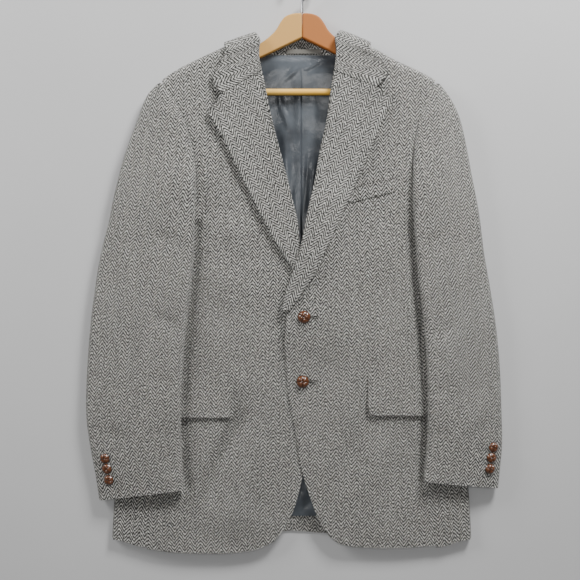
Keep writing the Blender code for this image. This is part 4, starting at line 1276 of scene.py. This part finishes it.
def node(tree, kind, links=(), **settings):
    """Adds a node: settings are its properties, and links pair its inputs with sockets or numbers."""
    made = tree.nodes.new(kind)
    for key, value in settings.items():
        setattr(made, key, value)
    for key, value in dict(links).items():
        if isinstance(value, bpy.types.NodeSocket):
            tree.links.new(value, made.inputs[key])
        else:
            made.inputs[key].default_value = value
    return made


def calc(tree, operation, *values, clamp=False):
    """A Math node's result."""
    return node(tree, "ShaderNodeMath", enumerate(values), operation=operation, use_clamp=clamp).outputs[0]


def mix(tree, share, first, second, blend="MIX"):
    """A colour mix's result."""
    made = node(tree, "ShaderNodeMix", {0: share, 6: first, 7: second}, data_type="RGBA", blend_type=blend)
    return made.outputs[2]


def noise(tree, vector, scale, detail=2.0, roughness=0.5):
    """Noise value over a vector, about 0.5 on average."""
    links = {"Vector": vector, "Scale": scale, "Detail": detail, "Roughness": roughness}
    return node(tree, "ShaderNodeTexNoise", links).outputs[0]


def tweed():
    """Woven wool tweed: a 2/2 herringbone of off-white warp and charcoal weft, hairy and matt."""
    if "woven_tweed" in bpy.data.materials:
        return bpy.data.materials["woven_tweed"]
    look = bpy.context.scene.jacket_look
    material, tree, shader = new_material("woven_tweed")
    uv = node(tree, "ShaderNodeUVMap", uv_map="cloth").outputs[0]
    # The yarns wander a little, so that no stripe is quite straight.
    wander = node(tree, "ShaderNodeTexNoise", {"Vector": uv, "Scale": 45.0, "Detail": 1.0}).outputs[1]
    middle = {0: wander, 1: (0.5, 0.5, 0.5)}
    drift = node(tree, "ShaderNodeVectorMath", middle, operation="SUBTRACT").outputs[0]
    scaled = node(tree, "ShaderNodeVectorMath", {0: drift, "Scale": 0.0022}, operation="SCALE").outputs[0]
    loose = node(tree, "ShaderNodeTexNoise", {"Vector": uv, "Scale": 380.0, "Detail": 2.0}).outputs[1]
    middle = {0: loose, 1: (0.5, 0.5, 0.5)}
    jitter = node(tree, "ShaderNodeVectorMath", middle, operation="SUBTRACT").outputs[0]
    hairy = node(tree, "ShaderNodeVectorMath", {0: jitter, "Scale": 0.0017}, operation="SCALE").outputs[0]
    moved = node(tree, "ShaderNodeVectorMath", {0: uv, 1: scaled}, operation="ADD").outputs[0]
    moved = node(tree, "ShaderNodeVectorMath", {0: moved, 1: hairy}, operation="ADD").outputs[0]
    split = node(tree, "ShaderNodeSeparateXYZ", {0: moved})
    end = calc(tree, "DIVIDE", split.outputs[0], look.end_spacing * MM)
    pick = calc(tree, "DIVIDE", split.outputs[1], look.pick_spacing * MM)
    end_number, pick_number = calc(tree, "FLOOR", end), calc(tree, "FLOOR", pick)
    swing = calc(tree, "PINGPONG", calc(tree, "ADD", end_number, 0.5), float(WARP_ENDS))
    step = calc(tree, "FLOOR", calc(tree, "ADD", calc(tree, "SUBTRACT", swing, 0.25), pick_number))
    warp_up = calc(tree, "LESS_THAN", calc(tree, "FLOORED_MODULO", step, 4.0), 2.0)
    # Round yarns: a parabola across each.
    across_end = calc(tree, "SUBTRACT", calc(tree, "FRACT", end), 0.5)
    across_pick = calc(tree, "SUBTRACT", calc(tree, "FRACT", pick), 0.5)
    squared = calc(tree, "POWER", calc(tree, "ABSOLUTE", across_end), 2.0)
    warp_round = calc(tree, "SUBTRACT", 1.0, calc(tree, "MULTIPLY", squared, 3.0))
    squared = calc(tree, "POWER", calc(tree, "ABSOLUTE", across_pick), 2.0)
    weft_round = calc(tree, "SUBTRACT", 1.0, calc(tree, "MULTIPLY", squared, 3.0))
    rounds = {0: warp_up, 2: weft_round, 3: warp_round}
    height = node(tree, "ShaderNodeMix", rounds, data_type="FLOAT").outputs[0]
    pair = calc(tree, "FLOOR", calc(tree, "DIVIDE", step, 2.0))
    cell = node(tree, "ShaderNodeCombineXYZ", {0: end_number, 1: pair}).outputs[0]
    fleck = node(tree, "ShaderNodeTexWhiteNoise", {"Vector": cell}, noise_dimensions="3D").outputs[0]
    slub = noise(tree, uv, 420.0, 3.0, 0.7)
    warp_share = calc(tree, "MULTIPLY", fleck, look.fleck * 0.7)
    light = mix(tree, warp_share, linear_of(look.warp_colour), linear_of(look.warp_shade))
    weft_share = calc(tree, "MULTIPLY", slub, look.fleck)
    dark = mix(tree, weft_share, linear_of(look.weft_colour), linear_of(look.weft_light))
    yarn = mix(tree, warp_up, dark, light)
    warm = node(tree, "ShaderNodeTexNoise", {"Vector": uv, "Scale": 700.0, "Detail": 1.0}).outputs[0]
    warm_share = calc(tree, "MULTIPLY", calc(tree, "GREATER_THAN", warm, 0.66), 0.25)
    flecked = mix(tree, warm_share, yarn, linear("8a7a58"))
    shade = calc(tree, "MULTIPLY_ADD", height, 0.3, 0.7)
    shaded = mix(tree, 1.0, flecked, shade, "MULTIPLY")
    # Hairy flecks two or three yarns wide keep the cloth lively where single yarns are too fine to show.
    grains = noise(tree, uv, 330.0, 2.0, 0.7)
    broad = calc(tree, "MULTIPLY_ADD", noise(tree, uv, 9.0, 3.0, 0.6), 0.2, 0.9)
    broad = calc(tree, "MULTIPLY", broad, calc(tree, "MULTIPLY_ADD", grains, 4.2, -1.15))
    toned = mix(tree, 1.0, shaded, broad, "MULTIPLY")
    # A line of stitching sinks into the cloth along each finished edge. Its groove and the last few
    # millimetres of each finished edge are darkened as painted shade.
    distance = node(tree, "ShaderNodeAttribute", attribute_name="edge_distance").outputs["Fac"]
    off = calc(tree, "ABSOLUTE", calc(tree, "SUBTRACT", distance, EDGE_STITCH * MM))
    groove = calc(tree, "SUBTRACT", 1.0, calc(tree, "DIVIDE", off, 0.0013), clamp=True)
    rim = calc(tree, "SUBTRACT", 1.0, calc(tree, "DIVIDE", distance, 0.0024), clamp=True)
    # Painted shade: up to 22% darker in the stitch groove and up to 60% darker at the very edge.
    stitch_painted_shade, edge_painted_shade = calc(tree, "MULTIPLY", groove, 0.22), calc(tree, "MULTIPLY", rim, 0.6)
    painted_shade_factor = calc(tree, "SUBTRACT", 1.0, calc(tree, "ADD", stitch_painted_shade, edge_painted_shade))
    final = mix(tree, 1.0, toned, painted_shade_factor, "MULTIPLY")
    tree.links.new(final, shader.inputs["Base Color"])
    shader.inputs["Roughness"].default_value = 0.92
    shader.inputs["IOR"].default_value = 1.54
    shader.inputs["Specular IOR Level"].default_value = 0.25
    shader.inputs["Sheen Weight"].default_value = 0.12
    shader.inputs["Sheen Roughness"].default_value = 0.5
    yarns = calc(tree, "MULTIPLY_ADD", slub, 0.5, height)
    relief = calc(tree, "ADD", yarns, calc(tree, "MULTIPLY", groove, -1.5))
    bump = node(tree, "ShaderNodeBump", {"Height": relief, "Strength": 0.6, "Distance": TWEED_BUMP})
    tree.links.new(bump.outputs[0], shader.inputs["Normal"])
    return material


def linear_of(colour):
    """A colour property as linear red, green, blue and alpha."""
    return (*colour[:3], 1.0)


def woven_satin(name, colour, deep, roughness):
    """Rayon satin: smooth and dark, with a soft sheen and hardly any weave to see."""
    if name in bpy.data.materials:
        return bpy.data.materials[name]
    material, tree, shader = new_material(name)
    uv = node(tree, "ShaderNodeUVMap", uv_map="cloth").outputs[0]
    cloudy = noise(tree, uv, 16.0, 3.0, 0.55)
    tone = mix(tree, calc(tree, "MULTIPLY_ADD", cloudy, 2.4, -0.7, clamp=True), colour, deep)
    tree.links.new(tone, shader.inputs["Base Color"])
    stretched = node(tree, "ShaderNodeMapping", {0: uv, "Scale": (1600.0, 260.0, 1.0)}).outputs[0]
    threads = noise(tree, stretched, 1.0, 1.0)
    crinkle = noise(tree, uv, 55.0, 3.0, 0.5)
    relief = calc(tree, "MULTIPLY_ADD", crinkle, 6.0, threads)
    bump = node(tree, "ShaderNodeBump", {"Height": relief, "Strength": 0.5, "Distance": 0.0004})
    tree.links.new(bump.outputs[0], shader.inputs["Normal"])
    shader.inputs["Roughness"].default_value = roughness
    shader.inputs["IOR"].default_value = 1.5
    shader.inputs["Sheen Weight"].default_value = 0.25
    shader.inputs["Sheen Roughness"].default_value = 0.3
    return material


def satin():
    look = bpy.context.scene.jacket_look
    return woven_satin("lining_satin", linear_of(look.satin_colour), linear_of(look.satin_shade), 0.29)


def tape():
    return woven_satin("loop_satin", linear("77746c"), linear("5f5d58"), 0.5)


def thread(name, colour):
    """Twisted sewing thread: matt, its plies shown as fine slanting bands."""
    if name in bpy.data.materials:
        return bpy.data.materials[name]
    material, tree, shader = new_material(name)
    place = node(tree, "ShaderNodeTexCoord").outputs["Object"]
    plies = noise(tree, place, 900.0, 1.0)
    tree.links.new(mix(tree, plies, linear(colour), linear("3a3835")), shader.inputs["Base Color"])
    shader.inputs["Roughness"].default_value = 0.8
    return material


def thread_dark():
    return thread("buttonhole_twist", "5b5954")


def thread_light():
    return thread("zigzag_thread", "cfccc2")


def leather():
    """Plaited calf leather: brown and waxed, mottled paler in random patches, with painted shade darkening
    the plait's grooves.
    """
    if "plaited_leather" in bpy.data.materials:
        return bpy.data.materials["plaited_leather"]
    look = bpy.context.scene.jacket_look
    material, tree, shader = new_material("plaited_leather")
    uv = node(tree, "ShaderNodeUVMap", uv_map="cloth").outputs[0]
    split = node(tree, "ShaderNodeSeparateXYZ", {0: uv})
    edge_u = calc(tree, "ABSOLUTE", calc(tree, "SUBTRACT", calc(tree, "FRACT", split.outputs[0]), 0.5))
    edge_v = calc(tree, "ABSOLUTE", calc(tree, "SUBTRACT", calc(tree, "FRACT", split.outputs[1]), 0.5))
    groove = calc(tree, "POWER", calc(tree, "MULTIPLY", calc(tree, "MAXIMUM", edge_u, edge_v), 2.0), 6.0)
    place = node(tree, "ShaderNodeTexCoord").outputs["Object"]
    mottled = noise(tree, place, 350.0, 3.0, 0.6)
    brown = mix(tree, mottled, linear_of(look.leather_colour), linear_of(look.leather_light))
    # Painted shade: the plait's grooves are darkened towards 160a05.
    painted_groove_shade = mix(tree, calc(tree, "MULTIPLY", groove, 0.85), brown, linear("160a05"))
    tree.links.new(painted_groove_shade, shader.inputs["Base Color"])
    grain = noise(tree, place, 2600.0, 3.0)
    bump = node(tree, "ShaderNodeBump", {"Height": grain, "Strength": 0.25, "Distance": 0.0002})
    tree.links.new(bump.outputs[0], shader.inputs["Normal"])
    shader.inputs["Roughness"].default_value = 0.26
    shader.inputs["IOR"].default_value = 1.5
    shader.inputs["Coat Weight"].default_value = 1.0
    shader.inputs["Coat Roughness"].default_value = 0.1
    return material


# The frame brings its own wood_light and wood_dark, and wood() finds those first, so the arms show plain
# and only the bar gets this grain.
# wood_light and wood_dark are one beech in two tones: lit and shaded copies, the right arm's paler tone
# painted light and the left arm's darker tone painted shade.
WOODS = {
    "wood_light": ("e08800", "703000", 25.5, 0.5),
    "wood_dark": ("985000", "401800", -25.5, 0.5),
    "wood_bar": ("ffdc88", "f4bc50", 0.0, 0.5),
}


def wood(name):
    """Lacquered beech: long grain streaks that follow the arm, over fine pores."""
    if name in bpy.data.materials:
        return bpy.data.materials[name]
    light, dark, lean, roughness = WOODS[name]
    material, tree, shader = new_material(name)
    place = node(tree, "ShaderNodeTexCoord").outputs["Object"]
    lean_links = {"Vector": place, "Angle": math.radians(-lean)}
    turned = node(tree, "ShaderNodeVectorRotate", lean_links, rotation_type="Z_AXIS").outputs[0]
    rings = node(tree, "ShaderNodeMapping", {0: turned, "Scale": (7.0, 110.0, 60.0)}).outputs[0]
    streaks = noise(tree, rings, 1.0, 4.0, 0.6)
    fine = node(tree, "ShaderNodeMapping", {0: turned, "Scale": (90.0, 1500.0, 900.0)}).outputs[0]
    pores = noise(tree, fine, 1.0, 2.0)
    share = calc(tree, "MULTIPLY_ADD", streaks, 3.4, -1.2, clamp=True)
    grain = mix(tree, share, linear(light), linear(dark))
    pored = mix(tree, calc(tree, "MULTIPLY", pores, 0.3), grain, linear(dark))
    tree.links.new(pored, shader.inputs["Base Color"])
    bump = node(tree, "ShaderNodeBump", {"Height": pores, "Strength": 0.15, "Distance": 0.0002})
    tree.links.new(bump.outputs[0], shader.inputs["Normal"])
    shader.inputs["Roughness"].default_value = roughness
    shader.inputs["IOR"].default_value = 1.5
    shader.inputs["Specular IOR Level"].default_value = 0.3
    shader.inputs["Coat Weight"].default_value = 0.05
    shader.inputs["Coat Roughness"].default_value = 0.25
    return material


def steel():
    """Drawn steel wire: bright, with faint scuffs."""
    if "drawn_steel" in bpy.data.materials:
        return bpy.data.materials["drawn_steel"]
    material, tree, shader = new_material("drawn_steel")
    place = node(tree, "ShaderNodeTexCoord").outputs["Object"]
    scuffs = noise(tree, place, 400.0, 3.0)
    tree.links.new(mix(tree, scuffs, linear("8f8f92"), linear("c9cacc")), shader.inputs["Base Color"])
    tree.links.new(calc(tree, "MULTIPLY_ADD", scuffs, 0.2, 0.2), shader.inputs["Roughness"])
    shader.inputs["Metallic"].default_value = 1.0
    return material


def paper():
    """Seamless studio paper: pale, matt, faintly mottled."""
    material, tree, shader = new_material("studio_paper")
    place = node(tree, "ShaderNodeTexCoord").outputs["Object"]
    mottled = noise(tree, place, 6.0, 4.0, 0.6)
    colour = linear_of(bpy.context.scene.jacket_look.floor_colour)
    darker = tuple(c * 0.93 for c in colour[:3]) + (1.0,)
    tree.links.new(mix(tree, mottled, colour, darker), shader.inputs["Base Color"])
    shader.inputs["Roughness"].default_value = 0.85
    return material


# Stage


def make_floor():
    """A wide sheet of pale paper that the jacket lies on."""
    half = 4000.0
    verts = [(-half, -half, 0), (half, -half, 0), (half, half, 0), (-half, half, 0)]
    mesh = bpy.data.meshes.new("floor")
    mesh.from_pydata([tuple(c * MM for c in v) for v in verts], [], [(0, 1, 2, 3)])
    mesh.materials.append(paper())
    floor = bpy.data.objects.new("floor", mesh)
    bpy.context.scene.collection.objects.link(floor)


def make_light(name, place, size, energy, colour=(1, 1, 1)):
    """A square soft box at a place, facing the middle of the jacket."""
    data = bpy.data.lights.new(name, "AREA")
    data.size = size
    data.energy = energy
    data.color = colour
    light = bpy.data.objects.new(name, data)
    light.location = place
    light.rotation_euler = Vector(-np.array(place)).to_track_quat("-Z", "Y").to_euler()
    bpy.context.scene.collection.objects.link(light)


def make_lights():
    make_light("window", (0.75, 1.4, 0.9), 0.5, 46.0)
    make_light("door", (-1.35, 0.9, 0.75), 0.6, 18.0)
    make_light("top", (0.0, 0.12, 2.0), 0.4, 9.0)
    world = bpy.data.worlds.new("studio")
    bpy.context.scene.world = world
    world.use_nodes = True
    background = world.node_tree.nodes["Background"]
    background.inputs[0].default_value = (1, 1, 1, 1)
    background.inputs[1].default_value = 0.2


def make_camera():
    """Looks straight down on the jacket."""
    data = bpy.data.cameras.new("camera")
    data.sensor_width = SENSOR
    data.lens = SENSOR * CAMERA_HEIGHT / VIEW_WIDTH
    camera = bpy.data.objects.new("camera", data)
    shift = frame_shift()
    across, up = CAMERA_AT[0] + shift[0], CAMERA_AT[1] + shift[1]
    camera.location = (across * MM, up * MM, (CAMERA_HEIGHT + 20) * MM)
    bpy.context.scene.collection.objects.link(camera)
    bpy.context.scene.camera = camera


# Add-on


def hex_colour(colour):
    return linear(colour)[:3]


class JacketLook(bpy.types.PropertyGroup):
    """Colours and weave that a user would change."""

    warp_colour: FloatVectorProperty(
        name="Warp", description="Off-white warp yarn",
        subtype="COLOR", size=3, min=0, max=1, default=hex_colour("c9c8c3"),
    )
    warp_shade: FloatVectorProperty(
        name="Warp shade", description="Darker hairs in the warp",
        subtype="COLOR", size=3, min=0, max=1, default=hex_colour("7f7e79"),
    )
    weft_colour: FloatVectorProperty(
        name="Weft", description="Charcoal weft yarn",
        subtype="COLOR", size=3, min=0, max=1, default=hex_colour("141414"),
    )
    weft_light: FloatVectorProperty(
        name="Weft hairs", description="Paler hairs in the weft",
        subtype="COLOR", size=3, min=0, max=1, default=hex_colour("454543"),
    )
    satin_colour: FloatVectorProperty(
        name="Lining", description="Satin lining",
        subtype="COLOR", size=3, min=0, max=1, default=hex_colour("5d6369"),
    )
    satin_shade: FloatVectorProperty(
        name="Lining shade", description="Darker clouds in the lining",
        subtype="COLOR", size=3, min=0, max=1, default=hex_colour("2c2f34"),
    )
    leather_colour: FloatVectorProperty(
        name="Leather", description="Plaited leather",
        subtype="COLOR", size=3, min=0, max=1, default=hex_colour("4a2713"),
    )
    leather_light: FloatVectorProperty(
        name="Rubbed leather", description="Paler rubbed leather",
        subtype="COLOR", size=3, min=0, max=1, default=hex_colour("75431f"),
    )
    floor_colour: FloatVectorProperty(
        name="Floor", description="Studio paper",
        subtype="COLOR", size=3, min=0, max=1, default=hex_colour("c9c9c9"),
    )
    end_spacing: FloatProperty(
        name="End spacing", description="Width of one warp yarn in millimetres",
        default=1.0, min=0.5, max=3,
    )
    pick_spacing: FloatProperty(
        name="Pick spacing", description="Height of one weft yarn in millimetres",
        default=1.37, min=0.5, max=3,
    )
    fleck: FloatProperty(
        name="Fleck", description="How uneven the yarns are",
        default=0.8, min=0, max=1, subtype="FACTOR",
    )


class JACKET_OT_body(bpy.types.Operator):
    """Back, side bodies and fronts"""

    bl_idname = "jacket.body"
    bl_label = "Body"

    def execute(self, context):
        for side in ("left", "right"):
            make_back(side)
            make_side(side)
            make_front(side)
        return {"FINISHED"}


class JACKET_OT_lapels(bpy.types.Operator):
    """Lapels and collar"""

    bl_idname = "jacket.lapels"
    bl_label = "Lapels and collar"

    def execute(self, context):
        for side in ("left", "right"):
            make_lapel(side)
        make_collar()
        return {"FINISHED"}


class JACKET_OT_sleeves(bpy.types.Operator):
    """Top and under sleeves"""

    bl_idname = "jacket.sleeves"
    bl_label = "Sleeves"

    def execute(self, context):
        for side in ("left", "right"):
            make_sleeve_top(side)
            make_sleeve_under(side)
        return {"FINISHED"}


class JACKET_OT_pockets(bpy.types.Operator):
    """Pocket flaps and breast welt"""

    bl_idname = "jacket.pockets"
    bl_label = "Pockets"

    def execute(self, context):
        for side in ("left", "right"):
            make_flap(side)
        make_welt()
        return {"FINISHED"}


class JACKET_OT_lining(bpy.types.Operator):
    """Back lining and hanger loop"""

    bl_idname = "jacket.lining"
    bl_label = "Lining"

    def execute(self, context):
        make_lining()
        make_loop()
        return {"FINISHED"}


class JACKET_OT_stitches(bpy.types.Operator):
    """Buttonholes and the zigzag on the collar's stand"""

    bl_idname = "jacket.stitches"
    bl_label = "Stitches"

    def execute(self, context):
        make_buttonholes()
        make_stand_stitching()
        return {"FINISHED"}


class JACKET_OT_buttons(bpy.types.Operator):
    """Plaited leather buttons of the front and the cuffs"""

    bl_idname = "jacket.buttons"
    bl_label = "Buttons"

    def execute(self, context):
        for number, name in enumerate(FRONT_BUTTONS):
            make_button(name, FRONT_BUTTON_RADIUS, 0.5 + 1.1 * number)
        for side in ("left", "right"):
            for number in (1, 2, 3):
                make_button(f"button_cuff_{side}_{number}", CUFF_BUTTON_RADIUS, 0.9 * number + sign(side))
        return {"FINISHED"}


class JACKET_OT_hanger(bpy.types.Operator):
    """Wooden arms, trouser bar and hook"""

    bl_idname = "jacket.hanger"
    bl_label = "Hanger"

    def execute(self, context):
        for side in ("left", "right"):
            make_arm(side)
        make_bar()
        make_hook()
        return {"FINISHED"}


class JACKET_OT_stage(bpy.types.Operator):
    """Pale floor, soft lights and the camera"""

    bl_idname = "jacket.stage"
    bl_label = "Stage"

    def execute(self, context):
        make_floor()
        make_lights()
        make_camera()
        return {"FINISHED"}


OPERATORS = (
    JACKET_OT_stage,
    JACKET_OT_body,
    JACKET_OT_lapels,
    JACKET_OT_sleeves,
    JACKET_OT_pockets,
    JACKET_OT_lining,
    JACKET_OT_stitches,
    JACKET_OT_buttons,
    JACKET_OT_hanger,
)


class JACKET_PT_pieces(bpy.types.Panel):
    """Pieces of the jacket, in the order in which they are made"""

    bl_label = "Tweed jacket"
    bl_idname = "JACKET_PT_pieces"
    bl_space_type = "VIEW_3D"
    bl_region_type = "UI"
    bl_category = "Jacket"

    def draw(self, context):
        for name in JacketLook.__annotations__:
            self.layout.prop(context.scene.jacket_look, name)
        for operator in OPERATORS:
            self.layout.operator(operator.bl_idname)


CLASSES = (JacketLook, *OPERATORS, JACKET_PT_pieces)


def register():
    for made in CLASSES:
        bpy.utils.register_class(made)
    bpy.types.Scene.jacket_look = PointerProperty(type=JacketLook)


def unregister():
    del bpy.types.Scene.jacket_look
    for made in reversed(CLASSES):
        bpy.utils.unregister_class(made)


def main():
    register()
    for operator in OPERATORS:
        group, name = operator.bl_idname.split(".")
        getattr(getattr(bpy.ops, group), name)()


if __name__ == "__main__":
    main()
